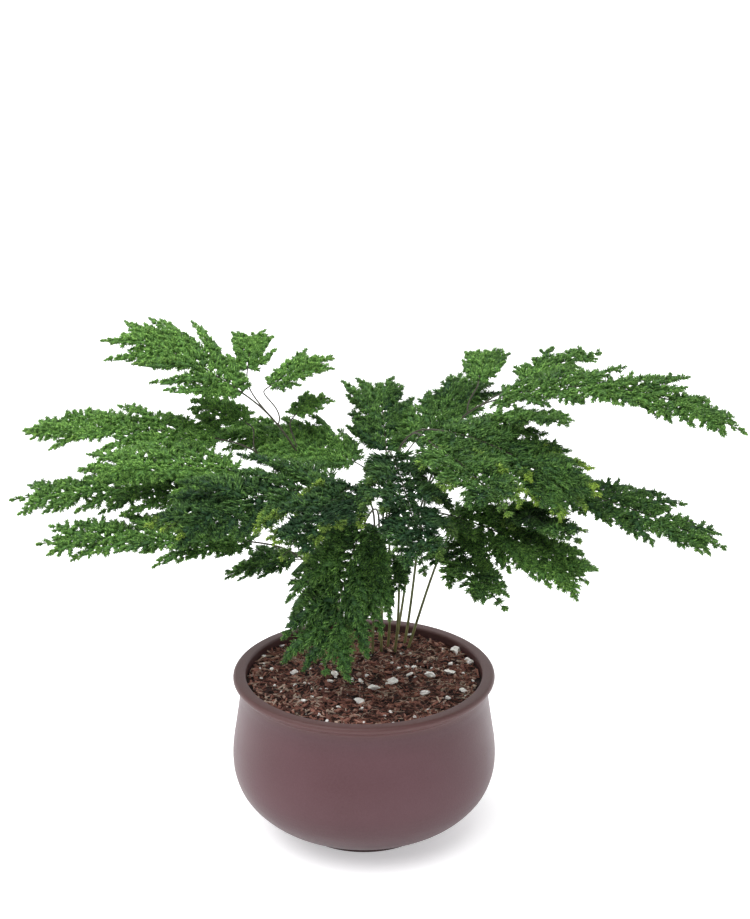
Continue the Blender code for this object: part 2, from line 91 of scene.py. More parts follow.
class Facet(Enum):
    """How the faces of a finished piece are shaded."""

    FLAT = "flat"
    SMOOTH = "smooth"


# ---- Meshes ----


def new_piece(name: str, shape: Shape, finish: Material, facet: Facet) -> bpy.types.Object:
    """Turns a finished bmesh into an object at the origin.

    Args:
        name: The piece's name.
        shape: Its form in metres, which is freed here.
        finish: The material on all its faces.
        facet: How its faces are shaded.

    Returns:
        The new object.
    """
    mesh = bpy.data.meshes.new(name)
    shape.to_mesh(mesh)
    shape.free()
    if facet is Facet.SMOOTH:
        mesh.shade_smooth()
    else:
        mesh.shade_flat()
    mesh.materials.append(finish)
    piece = bpy.data.objects.new(name, mesh)
    bpy.context.scene.collection.objects.link(piece)
    return piece


def mount(
    name: str, shape: Shape, finish: Material, slot: str, *nodes: str, facet: Facet = Facet.SMOOTH
) -> None:
    """Makes a piece that rides on the plant's one body, and reports it.

    Args:
        name: The piece's name.
        shape: Its form in metres, which is freed here.
        finish: The material on all its faces.
        slot: The name of a material slot, which is not used.
        nodes: The frame's nodes that it stands for.
        facet: How its faces are shaded.
    """
    piece = new_piece(name, shape, finish, facet)
    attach(piece, "root")
    if nodes:
        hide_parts(*nodes)
    LOG.info("%s: %d faces", piece.name, len(piece.data.polygons))


class Stamp:
    """A small mesh, in millimetres, that is pressed into larger ones many times."""

    def __init__(self, name: str, shape: Shape) -> None:
        """Makes a stamp of a bmesh.

        Args:
            name: The mesh's name.
            shape: Its form in millimetres, which is freed here.
        """
        self.mesh = bpy.data.meshes.new(name)
        shape.to_mesh(self.mesh)
        shape.free()

    def press(self, target: Shape, place: Matrix, **values: float) -> None:
        """Adds a copy of the stamp to a larger form.

        Args:
            target: The form in metres that it joins.
            place: Where the stamp goes, in millimetres.
            values: What each named float layer holds on all of the copy.
        """
        copy = self.mesh.copy()
        copy.transform(Matrix.Scale(MM, 4) @ place)
        for name, value in values.items():
            layer = copy.attributes.get(name) or copy.attributes.new(name, "FLOAT", "POINT")
            layer.data.foreach_set("value", [value] * len(copy.vertices))
        target.from_mesh(copy)
        bpy.data.meshes.remove(copy)


def turned(profile: list[Pair], sides: int, closed: bool) -> Shape:
    """Turns a profile round the Z axis.

    Args:
        profile: Its points as radius and height, in millimetres.
        sides: How many sides the round has.
        closed: Whether the last point is joined to the first.

    Returns:
        The form, in metres.
    """
    shape = bmesh.new()
    line = [shape.verts.new((radius * MM, 0.0, height * MM)) for radius, height in profile]
    ends = line[1:] + ([line[0]] if closed else [])
    edges = [shape.edges.new(pair) for pair in zip(line, ends)]
    bmesh.ops.spin(
        shape, geom=line + edges, axis=UP, cent=(0, 0, 0), angle=math.tau, steps=sides, use_merge=True
    )
    bmesh.ops.remove_doubles(shape, verts=shape.verts, dist=1e-6)
    bmesh.ops.recalc_face_normals(shape, faces=shape.faces)
    return shape


def pulled(points: list[Vector], share: float) -> tuple[Vector, Vector]:
    """Finds a place on the smooth curve that some points pull.

    Args:
        points: The points, from one end of the curve to the other.
        share: How far along the curve the place is.

    Returns:
        The place, and the curve's direction there.
    """
    while len(points) > 2:
        points = [first.lerp(second, share) for first, second in zip(points, points[1:])]
    return points[0].lerp(points[1], share), (points[1] - points[0]).normalized()


@dataclass(frozen=True)
class Spot:
    """A place on a twig, in millimetres, with the way that it grows and its upper side."""

    middle: Vector
    heading: Vector
    upward: Vector

    def across(self) -> Vector:
        """Returns the direction to the twig's left, seen from above."""
        return self.upward.cross(self.heading).normalized()

    def frame(self, wide: float = 1.0, high: float = 1.0, long: float = 1.0) -> Matrix:
        """Gives the matrix that stands a shape's Z axis along the twig.

        Args:
            wide: Scale across the twig.
            high: Scale towards the twig's upper side.
            long: Scale along the twig.

        Returns:
            The matrix, in millimetres.
        """
        turn = Matrix((self.across(), self.upward, self.heading)).transposed().to_4x4()
        return Matrix.Translation(self.middle) @ turn @ Matrix.Diagonal((wide, high, long, 1.0))

    def leaving(self, turn: float, lift: float) -> Spot:
        """Gives the spot of a side twig that leaves this one at its middle.

        Args:
            turn: How far it turns to the left in the frond's plane, in radians.
            lift: How far it then turns up, in radians.

        Returns:
            The side twig's first spot.
        """
        level = self.heading * math.cos(turn) + self.across() * math.sin(turn)
        heading = level * math.cos(lift) + self.upward * math.sin(lift)
        upward = self.upward * math.cos(lift) - level * math.sin(lift)
        return Spot(self.middle, heading, upward)


def sweep(shape: Shape, spots: list[Spot], radii: list[float], sides: int, **values: float) -> None:
    """Draws a closed round tube along a line of spots.

    Args:
        shape: The form in metres that gets the tube.
        spots: The line, in millimetres.
        radii: The tube's radius at each spot.
        sides: How many sides it has.
        values: What each named float layer holds on the tube.
    """
    frames = [Matrix.Scale(MM, 4) @ spot.frame(radius, radius) for spot, radius in zip(spots, radii)]
    made = bmesh.ops.create_circle(shape, cap_ends=True, segments=sides, radius=1.0, matrix=frames[0])
    ring = made["verts"]
    face = ring[0].link_faces[0]
    verts = list(ring)
    for before, after in zip(frames, frames[1:]):
        face = bmesh.ops.extrude_discrete_faces(shape, faces=[face])["faces"][0]
        bmesh.ops.transform(shape, matrix=after @ before.inverted(), verts=face.verts)
        verts += face.verts
    shape.faces.new(ring)
    for name, value in values.items():
        layer = shape.verts.layers.float[name]
        for vert in verts:
            vert[layer] = value


# ---- Finishes ----


class Graph:
    """Adds nodes to a material or a group, and joins them."""

    def __init__(self, tree: bpy.types.NodeTree) -> None:
        """Starts on an existing node tree."""
        self.tree = tree

    def add(self, kind: str, inputs: dict[str | int, object] | None = None, **settings: object) -> bpy.types.Node:
        """Adds a node.

        Args:
            kind: The node's type, without the word ShaderNode in front.
            inputs: For each input, a value or another node's output.
            settings: The node's own settings.

        Returns:
            The new node.
        """
        node = self.tree.nodes.new("ShaderNode" + kind)
        for name, value in settings.items():
            setattr(node, name, value)
        for name, value in (inputs or {}).items():
            self.join(value, node.inputs[name])
        return node

    def join(self, value: object, socket: Socket) -> None:
        """Feeds an input.

        Args:
            value: A value, or another node's output.
            socket: The input.
        """
        if isinstance(value, Socket):
            self.tree.links.new(value, socket)
        else:
            socket.default_value = value

    def object_place(self) -> Socket:
        """Returns the place on the object, in metres."""
        return self.add("TexCoord").outputs["Object"]

    def layer(self, name: str) -> Socket:
        """Returns the value of a mesh's named float layer."""
        return self.add("Attribute", attribute_name=name).outputs["Fac"]

    def height(self) -> Socket:
        """Returns the height over the table, in metres."""
        return self.add("SeparateXYZ", {0: self.object_place()}).outputs["Z"]

    def maths(self, way: str, first: object, second: object = 0.0) -> Socket:
        """Returns the result of one sum on two values."""
        return self.add("Math", {0: first, 1: second}, operation=way).outputs[0]

    def ranged(self, value: object, low: float, high: float, start: float = 0.0, end: float = 1.0) -> Socket:
        """Returns a value mapped from low and high to start and end, and stopped at these ends."""
        inputs = {"Value": value, "From Min": low, "From Max": high, "To Min": start, "To Max": end}
        return self.add("MapRange", inputs).outputs["Result"]

    def blend(self, share: object, first: object, second: object, way: str = "MIX") -> Socket:
        """Blends two colours.

        Args:
            share: How much of the second is used.
            first: The first colour or output.
            second: The second colour or output.
            way: How Blender blends them.

        Returns:
            The blended colour.
        """
        node = self.add("Mix", {"Factor": share}, data_type="RGBA", blend_type=way)
        colours = [socket for socket in node.inputs if socket.type == "RGBA"]
        for value, socket in zip((first, second), colours):
            self.join((*value, 1.0) if isinstance(value, tuple) else value, socket)
        return next(socket for socket in node.outputs if socket.type == "RGBA")


@dataclass(frozen=True)
class MottleGroup:
    """A shader node group with soft patches, grain and pits, which every dry surface here uses."""

    name: str = "mottle"

    def tree(self) -> bpy.types.NodeTree:
        """Builds the group, or finds it where it is built already.

        Returns:
            The group's node tree.
        """
        if self.name in bpy.data.node_groups:
            return bpy.data.node_groups[self.name]
        tree = bpy.data.node_groups.new(self.name, "ShaderNodeTree")
        for title, kind in (("Place", "Vector"), ("Broad", "Float"), ("Fine", "Float")):
            tree.interface.new_socket(title, in_out="INPUT", socket_type="NodeSocket" + kind)
        for title in ("Patches", "Grain", "Pits"):
            tree.interface.new_socket(title, in_out="OUTPUT", socket_type="NodeSocketFloat")
        graph = Graph(tree)
        given = tree.nodes.new("NodeGroupInput").outputs
        wanted = tree.nodes.new("NodeGroupOutput").inputs
        place, scale = given["Place"], given["Fine"]
        broad = graph.add("TexNoise", {"Vector": place, "Scale": given["Broad"], "Detail": 3.0})
        fine = graph.add("TexNoise", {"Vector": place, "Scale": scale, "Detail": 4.0, "Roughness": 0.6})
        cells = graph.add("TexVoronoi", {"Vector": place, "Scale": scale})
        graph.join(graph.ranged(broad.outputs[0], 0.32, 0.68), wanted["Patches"])
        graph.join(graph.ranged(fine.outputs[0], 0.3, 0.7), wanted["Grain"])
        graph.join(graph.ranged(cells.outputs["Distance"], 0.05, 0.32, 1.0, 0.0), wanted["Pits"])
        return tree


class Coat(Graph):
    """A Principled material with the mottle group in it, while its nodes are added."""

    def __init__(self, name: str, roughness: float, specular: float, broad: float, fine: float) -> None:
        """Starts the material.

        Args:
            name: The material's name.
            roughness: Its roughness where no node sets it.
            specular: Its specular level.
            broad: How many soft patches there are to the metre.
            fine: How many grains there are to the metre.
        """
        self.material = bpy.data.materials.new(name)
        self.material.use_nodes = True
        super().__init__(self.material.node_tree)
        self.shader = self.tree.nodes["Principled BSDF"]
        self.shader.inputs["Roughness"].default_value = roughness
        self.shader.inputs["Specular IOR Level"].default_value = specular
        inputs = {"Place": self.object_place(), "Broad": broad, "Fine": fine}
        self.mottle = self.add("Group", inputs, node_tree=MottleGroup().tree()).outputs

    def mask(self, kind: str, start: float, end: float, low: float = 0.0, high: float = 1.0) -> Socket:
        """Returns Patches, Grain or Pits, mapped from low and high to start and end."""
        return self.ranged(self.mottle[kind], low, high, start, end)

    def finished(self, colour: Socket, relief: Socket, strength: float, depth: float) -> Material:
        """Joins the colour and the relief to the shader.

        Args:
            colour: The base colour.
            relief: The height of the bump.
            strength: The bump's strength.
            depth: The bump's depth, in metres.

        Returns:
            The material.
        """
        self.join(colour, self.shader.inputs["Base Color"])
        bump = self.add("Bump", {"Height": relief, "Strength": strength, "Distance": depth})
        self.join(bump.outputs[0], self.shader.inputs["Normal"])
        return self.material


@dataclass(frozen=True)
class NeedleFinish:
    """Soft green needles, with painted light and shade from frond to frond, and painted highlights towards their
    points.
    """

    shaded: Colour = (0.012, 0.046, 0.015)  # painted shade: the oldest fronds, and those that lie in shade
    lit: Colour = (0.135, 0.305, 0.058)  # fronds in full light
    young: Colour = (0.25, 0.41, 0.05)  # new growth
    point: Colour = (2.6, 2.2, 2.4)  # painted highlight: how much paler a needle is at its point
    gap: Colour = (0.2, 0.26, 0.3)  # painted shade: how much darker it is between needles
    stroke_highlight: Colour = (2.2, 2.1, 2.1)  # painted highlight: how much paler a needle is along its length

    def material(self) -> Material:
        """Mixes the green from the layers tone, youth and tip, with painted highlights on the needles and painted
        shade between them.

        Returns:
            The material of all the needles.
        """
        coat = Coat("fern_needles", 0.55, 0.22, 55.0, 1300.0)
        tone = coat.maths("ADD", coat.layer("tone"), coat.mask("Patches", -0.12, 0.12))
        green = coat.blend(coat.ranged(tone, 0.0, 1.0), self.shaded, self.lit)
        green = coat.blend(coat.layer("youth"), green, self.young)
        pale = coat.blend(1.0, green, self.point, "MULTIPLY")
        colour = coat.blend(coat.ranged(coat.layer("tip"), 0.0, 1.0), green, pale)
        colour = coat.blend(coat.mask("Grain", 0.75, 0.0, 0.2, 0.55), colour, self.gap, "MULTIPLY")
        colour = coat.blend(coat.mask("Grain", 0.0, 0.8, 0.5, 0.85), colour, self.stroke_highlight, "MULTIPLY")
        return coat.finished(colour, coat.mottle["Grain"], 0.6, 0.0004)


@dataclass(frozen=True)
class TwigFinish:
    """Wiry stems: pale where they leave the soil, dark brown above, green in the fine twigs."""

    base: Colour = (0.3, 0.3, 0.12)
    olive: Colour = (0.11, 0.13, 0.045)
    bark: Colour = (0.028, 0.025, 0.014)
    fleck: Colour = (0.1, 0.1, 0.05)
    green: Colour = (0.022, 0.075, 0.016)
    to_olive: Pair = (0.095, 0.118)  # the heights between which the base turns olive, in metres
    to_bark: Pair = (0.125, 0.175)  # the heights between which the olive turns brown

    def material(self) -> Material:
        """Mixes the bark by height, and the green from the layer fineness.

        Returns:
            The material of all stalks and twigs.
        """
        coat = Coat("wiry_stems", 0.5, 0.4, 130.0, 2200.0)
        height = coat.maths("ADD", coat.height(), coat.mask("Patches", -0.008, 0.008))
        bark = coat.blend(coat.ranged(height, *self.to_olive), self.base, self.olive)
        bark = coat.blend(coat.ranged(height, *self.to_bark), bark, self.bark)
        bark = coat.blend(coat.mask("Grain", 0.0, 0.35), bark, self.fleck)
        colour = coat.blend(coat.layer("fineness"), bark, self.green)
        return coat.finished(colour, coat.mottle["Grain"], 0.35, 0.0003)


@dataclass(frozen=True)
class ClayFinish:
    """Unglazed purple-brown clay: burnished body, browner rim, fine grit, a dusty bloom, and painted shade at the
    foot and lip.
    """

    body: Colour = (0.072, 0.026, 0.031)
    rim: Colour = (0.085, 0.038, 0.036)
    bloom: Colour = (0.12, 0.058, 0.07)
    # dark grit in the pits, and also the painted shade on the foot and under the lip
    sand_and_shade: Colour = (0.03, 0.014, 0.014)
    foot_shade_heights: Pair = (0.004, 0.04)  # where the painted shade on the foot fades out, in metres
    groove_heights: Pair = (0.074, 0.0845)  # where the shade under the lip begins and is full
    rim_heights: Pair = (0.0855, 0.0905)  # where the browner rim begins and is full

    def material(self) -> Material:
        """Mixes the clay by height, with painted shade on the foot and under the lip, and fine turning rings in its
        relief.

        Returns:
            The pot's material.
        """
        coat = Coat("purple_brown_clay", 0.4, 0.3, 18.0, 1100.0)
        colour = coat.blend(coat.mask("Patches", 0.0, 0.38), self.body, self.bloom)
        # painted shade: the foot is darker towards the bottom
        colour = coat.blend(coat.ranged(coat.height(), *self.foot_shade_heights, 0.75, 0.0), colour, self.sand_and_shade)
        colour = coat.blend(coat.ranged(coat.height(), *self.groove_heights, 0.0, 0.2), colour, self.sand_and_shade)
        rim = coat.ranged(coat.height(), *self.rim_heights)
        colour = coat.blend(rim, colour, self.rim)
        colour = coat.blend(coat.mask("Grain", 0.0, 0.22), colour, self.bloom)
        colour = coat.blend(coat.mask("Pits", 0.0, 0.5, 0.72), colour, self.sand_and_shade)
        rough = coat.maths("ADD", coat.mask("Patches", 0.34, 0.46), coat.ranged(rim, 0.0, 1.0, 0.0, 0.06))
        coat.join(rough, coat.shader.inputs["Roughness"])
        stretched = coat.add("Mapping", {0: coat.object_place(), "Scale": (6.0, 6.0, 900.0)})
        rings = coat.add("TexNoise", {"Vector": stretched.outputs[0], "Scale": 1.0, "Detail": 2.0})
        turning = coat.maths("MULTIPLY", rings.outputs[0], 0.6)
        grain = coat.maths("MULTIPLY", coat.mottle["Grain"], 0.4)
        return coat.finished(colour, coat.maths("ADD", turning, grain), 0.22, 0.0003)


@dataclass(frozen=True)
class EarthFinish:
    """Moist peat, coir or bark crumbs, from near black to rusty brown and straw."""

    name: str = "peat_and_coir"
    dark: Colour = (0.022, 0.009, 0.008)
    rust: Colour = (0.55, 0.24, 0.18)
    straw: Colour = (0.88, 0.68, 0.55)

    def material(self) -> Material:
        """Mixes the colours from the layer hue, which holds 0 to 1 and a little more.

        Returns:
            The material.
        """
        coat = Coat(self.name, 0.85, 0.3, 120.0, 1600.0)
        hue = coat.maths("ADD", coat.layer("hue"), coat.mask("Patches", -0.22, 0.22))
        colour = coat.blend(coat.ranged(hue, 0.0, 0.75), self.dark, self.rust)
        colour = coat.blend(coat.ranged(hue, 0.82, 1.1), colour, self.straw)
        colour = coat.blend(coat.mask("Grain", 0.4, 0.0), colour, self.dark)
        relief = coat.maths("ADD", coat.mottle["Grain"], coat.mottle["Pits"])
        return coat.finished(colour, relief, 0.9, 0.0008)


@dataclass(frozen=True)
class PerliteFinish:
    """White, porous perlite with a little earth in its pits."""

    white: Colour = (0.95, 0.92, 0.9)
    stain: Colour = (0.34, 0.22, 0.19)

    def material(self) -> Material:
        """Mixes the white with the stain.

        Returns:
            The perlite's material.
        """
        coat = Coat("perlite", 0.9, 0.25, 260.0, 1500.0)
        colour = coat.blend(coat.mask("Patches", 0.0, 0.45, 0.6), self.white, self.stain)
        colour = coat.blend(coat.mask("Pits", 0.0, 0.5, 0.7), colour, self.stain)
        return coat.finished(colour, coat.mottle["Pits"], 0.6, 0.0005)


@dataclass(frozen=True)
class FloorFinish:
    """The plain pale floor, lit a little from below as a light table is."""

    pale: Colour = (0.9, 0.9, 0.91)
    worn: Colour = (0.8, 0.8, 0.8)
    glow: float = 0.42

    def material(self) -> Material:
        """Mixes the pale colour with faint patches.

        Returns:
            The floor's material.
        """
        coat = Coat("pale_floor", 0.6, 0.2, 4.0, 300.0)
        colour = coat.blend(coat.mask("Patches", 0.0, 0.02), self.pale, self.worn)
        coat.join(colour, coat.shader.inputs["Base Color"])
        coat.shader.inputs["Emission Color"].default_value = (0.98, 0.98, 1.0, 1.0)
        coat.shader.inputs["Emission Strength"].default_value = self.glow
        return coat.material


# ---- Pot ----


@dataclass
class ClayPot:
    """The round clay pot, turned from one profile of radii and heights."""

    sides: int = 128
    height: float = 95.0
    foot_radius: float = 41.0
    ring_width: float = 6.5  # of the foot ring
    recess: float = 3.0  # how deep the foot is hollowed
    floor: float = 8.0  # how high the floor is inside
    drain_radius: float = 7.0
    outer: tuple[Pair, ...] = (
        (41.0, 3.5), (52.0, 8.2), (62.5, 15.0), (70.6, 24.0), (74.7, 33.5), (76.0, 43.0),
        (75.5, 53.0), (73.8, 64.0), (71.6, 79.0), (71.4, 85.0), (71.6, 88.6),
    )
    inner: tuple[Pair, ...] = (
        (39.0, 8.0), (57.0, 16.5), (68.0, 33.0), (70.0, 47.0), (66.2, 79.0), (67.6, 90.0),
    )

    def smooth_line(self, points: tuple[Pair, ...], steps: int) -> list[Pair]:
        """Rounds a line of profile points.

        Args:
            points: The points that the line passes through.
            steps: How many pieces each stretch is cut into.

        Returns:
            The points of the rounded line.
        """
        line = [Vector(point) for point in points]
        line = [line[0] * 2 - line[1], *line, line[-1] * 2 - line[-2]]
        found = []
        for before, first, second, after in zip(line, line[1:], line[2:], line[3:]):
            handles = [first, first + (second - before) / 6, second - (after - first) / 6, second]
            found += [tuple(pulled(handles, step / steps)[0]) for step in range(steps)]
        return [*found, points[-1]]

    def round_point(self, middle: Pair, radius: float, angle: float) -> Pair:
        """Returns a point of a rounded lip, at an angle in degrees from the outward side."""
        turn = math.radians(angle)
        return middle[0] + radius * math.cos(turn), middle[1] + radius * math.sin(turn)

    def profile(self) -> list[Pair]:
        """Lays out the pot's closed profile, from the drain hole round.

        Returns:
            Its points as radius and height.
        """
        inside = self.foot_radius - self.ring_width
        foot = [
            (self.drain_radius, self.recess + 0.5), (self.drain_radius + 0.5, self.recess),
            (inside - 0.8, self.recess), (inside - 0.2, self.recess - 0.5), (inside, 0.5), (inside + 0.5, 0.0),
            (self.foot_radius - 0.7, 0.0), (self.foot_radius - 0.1, 0.5), (self.foot_radius, 1.4),
        ]
        lip_middle, inside_middle = (73.0, self.height - 2.0), (69.0, self.height - 1.4)
        lip = [self.round_point(lip_middle, 2.0, angle) for angle in range(-78, 91, 14)]
        lip += [self.round_point(inside_middle, 1.4, angle) for angle in range(90, 181, 15)]
        inner = reversed(self.smooth_line(self.inner, 4))
        return [*foot, *self.smooth_line(self.outer, 5), *lip, *inner, (self.drain_radius, self.floor)]

    def build(self) -> None:
        """Turns the profile and dresses it."""
        mount("clay_pot", turned(self.profile(), self.sides, True), ClayFinish().material(), "clay", "pot")


# ---- Soil ----


@dataclass
class PottingSoil:
    """Peat and coir that fill the pot, with crumbs, fibres and perlite lying on them."""

    perlite: tuple[Point, ...]  # the larger grains, each with its place and its size
    feet: tuple[Pair, ...]  # where stems stand, which crumbs keep off
    sides: int = 128
    rings: int = 46  # of the top
    edge_radius: float = 67.2
    edge_height: float = 90.0
    crown_height: float = 91.6
    wall_radius: float = 67.6  # where the top is even, at the pot's wall
    relief: float = 1.1  # how uneven the top is
    crumbs: int = 1000
    chips: int = 2500
    fibres: int = 860
    dust: int = 110  # how many small perlite grains there are
    ground: BVHTree | None = None
    inside: tuple[Pair, ...] = ((0.0, 8.35), (39.0, 8.35), (57.0, 17.0), (67.6, 33.0), (69.6, 47.0), (65.9, 79.0))

    def height(self, x: float, y: float) -> float:
        """Gives the height of the soil's top.

        Args:
            x: Place to the right.
            y: Place towards the back.

        Returns:
            The height.
        """
        reach = math.hypot(x, y) / self.wall_radius
        level = self.crown_height + (self.edge_height - self.crown_height) * reach**2
        place = Vector((x, y, 0.0))
        broad = noise.noise(place * 0.055) + 0.6 * noise.noise((place + UP * 9.0) * 0.16)
        clods = noise.fractal(place * 0.3, 1.0, 2.2, 3)
        return level + self.relief * (broad + 0.55 * clods) * max(0.0, 1.0 - reach**8)

    def ground_shape(self) -> Shape:
        """Turns the soil's body and lays its uneven top.

        Returns:
            The body's form, in metres.
        """
        top = [(self.edge_radius * (1 - step / self.rings), self.edge_height) for step in range(self.rings + 1)]
        shape = turned([*self.inside, *top], self.sides, False)
        hue = shape.verts.layers.float.new("hue")
        for vert in shape.verts:
            if vert.co.z > (self.edge_height - 0.1) * MM:
                vert.co.z = self.height(vert.co.x / MM, vert.co.y / MM) * MM
            vert[hue] = 0.3 + 0.45 * noise.noise(vert.co / MM * 0.12)
        return shape

    def seat(self, x: float, y: float) -> Vector:
        """Returns the point of the soil's top under a place."""
        hit = self.ground.ray_cast(Vector((x, y, 200.0)) * MM, -UP)[0]
        return hit / MM if hit else Vector((x, y, self.height(x, y)))

    def lump(self, seed: str, subdivisions: int, rough: float) -> Stamp:
        """Makes a rough lump of unit radius.

        Args:
            seed: What its form is drawn from.
            subdivisions: How finely the ball that it starts from is divided.
            rough: How far its surface strays.

        Returns:
            The lump as a stamp.
        """
        draw = random.Random(seed)
        shape = bmesh.new()
        bmesh.ops.create_icosphere(shape, subdivisions=subdivisions, radius=1.0)
        away = Vector([draw.uniform(-50, 50) for _ in range(3)])
        for vert in shape.verts:
            vert.co *= 1.0 + rough * noise.noise(vert.co * 1.6 + away)
        return Stamp(seed, shape)

    def shred(self, seed: str) -> Stamp:
        """Makes a bent, torn shred, two units long along X.

        Args:
            seed: What its form is drawn from.

        Returns:
            The shred as a stamp.
        """
        draw = random.Random(seed)
        shape = bmesh.new()
        bmesh.ops.create_cube(shape, size=2.0)
        for vert in shape.verts:
            vert.co.y *= draw.uniform(0.35, 1.1)
            vert.co.z = vert.co.z * draw.uniform(0.4, 1.0) + draw.uniform(-0.5, 0.5)
            vert.co.x *= draw.uniform(0.75, 1.1)
        return Stamp(seed, shape)

    def free_place(self, draw: random.Random, room: float) -> Vector:
        """Draws a place on the soil that is clear of the stems.

        Args:
            draw: The random draws.
            room: How far it stays from a stem.

        Returns:
            The place on the soil's top.
        """
        while True:
            radius = (self.edge_radius - 1.5) * math.sqrt(draw.random())
            turn = draw.uniform(0, math.tau)
            x, y = radius * math.cos(turn), radius * math.sin(turn)
            if all(math.hypot(x - foot[0], y - foot[1]) > room for foot in self.feet):
                return self.seat(x, y)

    def lay(self, draw: random.Random, place: Vector, size: float, flat: float, stretch: float) -> Matrix:
        """Gives the place of a lump that lies half sunk in the soil.

        Args:
            draw: The random draws.
            place: The point of the soil's top.
            size: The lump's half width.
            flat: Its height over its width.
            stretch: Its length over its width.

        Returns:
            The matrix, in millimetres.
        """
        turn = Matrix.Rotation(draw.uniform(0, math.tau), 4, "Z")
        tilt = Matrix.Rotation(draw.uniform(-0.5, 0.5), 4, "X") @ Matrix.Rotation(draw.uniform(-0.5, 0.5), 4, "Y")
        scale = Matrix.Diagonal((size * stretch, size, size * flat, 1.0))
        return Matrix.Translation(place + UP * size * flat * 0.35) @ turn @ tilt @ scale

    def lay_crumbs(self) -> None:
        """Scatters crumbs of peat, coir and bark, and small shreds between them."""
        draw = random.Random("crumbs")
        lumps = [self.lump(f"crumb {index}", 1, 0.9) for index in range(12)]
        shreds = [self.shred(f"shred {index}") for index in range(10)]
        shape = bmesh.new()
        shape.verts.layers.float.new("hue")
        for _ in range(self.crumbs):
            size = 0.5 + 1.2 * draw.random() ** 2.5
            place = self.lay(draw, self.free_place(draw, 1.6), size, draw.uniform(0.45, 0.9), draw.uniform(1.0, 2.4))
            draw.choice(lumps).press(shape, place, hue=min(1.0, draw.random() ** 1.2 * 1.05))
        for _ in range(self.chips):
            size = draw.uniform(0.24, 0.62)
            seat = self.free_place(draw, 1.6) + UP * 0.5
            place = self.lay(draw, seat, size, draw.uniform(0.5, 1.0), draw.uniform(2.0, 7.0))
            draw.choice(shreds).press(shape, place, hue=min(1.1, 0.15 + draw.random() ** 1.3))
        mount("soil_crumbs", shape, EarthFinish().material(), "soil", facet=Facet.FLAT)

    def lay_fibres(self) -> None:
        """Strews curved coir fibres and fine dry roots."""
        draw = random.Random("fibres")
        shape = bmesh.new()
        shape.verts.layers.float.new("hue")
        for _ in range(self.fibres):
            place = self.free_place(draw, 2.5).xy
            turn, bend = draw.uniform(0, math.tau), draw.uniform(-0.8, 0.8)
            length = draw.uniform(4.0, 16.0)
            spots = []
            for step in range(6):
                if place.length >= self.edge_radius - 1.0:
                    break
                rise = 0.7 + 1.7 * math.sin(math.pi * (step / 5)) * (bend**2 + 0.25)
                ahead = Vector((math.cos(turn), math.sin(turn), 0.0))
                spots.append(Spot(self.seat(*place) + UP * rise, ahead, UP))
                place = place + ahead.xy * length / 5
                turn += bend + draw.uniform(-0.2, 0.2)
            if len(spots) > 3:
                radius = 0.1 + 0.14 * draw.random() ** 2
                radii = [radius * (1.0 - 0.5 * abs(2 * index / len(spots) - 1.0)) for index in range(len(spots))]
                sweep(shape, spots, radii, 3, hue=1.35 * draw.random() ** 1.3)
        bmesh.ops.recalc_face_normals(shape, faces=shape.faces)
        coir = EarthFinish("coir_fibre", (0.09, 0.035, 0.025), (0.44, 0.2, 0.14), (0.85, 0.68, 0.54))
        mount("coir_fibres", shape, coir.material(), "soil")

    def lay_perlite(self) -> None:
        """Sets the white perlite grains, the large ones each in its place."""
        draw = random.Random("perlite")
        large = [self.lump(f"perlite {index}", 2, 0.95) for index in range(7)]
        small = [self.lump(f"perlite dust {index}", 1, 0.8) for index in range(5)]
        shape = bmesh.new()
        for x, y, size in self.perlite:
            place = self.lay(draw, self.seat(x, y) + UP * 0.25 * size, size * 0.44, 0.6, draw.uniform(1.0, 1.5))
            draw.choice(large).press(shape, place)
        for _ in range(self.dust):
            size = 0.35 + 0.75 * draw.random() ** 1.6
            place = self.lay(draw, self.free_place(draw, 2.5) + UP * 0.3, size, 0.75, draw.uniform(1.0, 1.5))
            draw.choice(small).press(shape, place)
        mount("perlite_grains", shape, PerliteFinish().material(), "soil", facet=Facet.FLAT)

    def build(self) -> None:
        """Builds the soil and all that lies on it."""
        shape = self.ground_shape()
        self.ground = BVHTree.FromBMesh(shape)
        # the soil under the crumbs is darker, partly its own damp peat and partly painted shade in the gaps between
        # crumbs
        shaded_peat = EarthFinish("damp_peat_and_shade", (0.006, 0.003, 0.003), (0.11, 0.045, 0.035), (0.3, 0.17, 0.13))
        mount("potting_soil", shape, shaded_peat.material(), "soil", "soil")
        self.lay_crumbs()
        self.lay_fibres()
        self.lay_perlite()


# ---- Fern ----


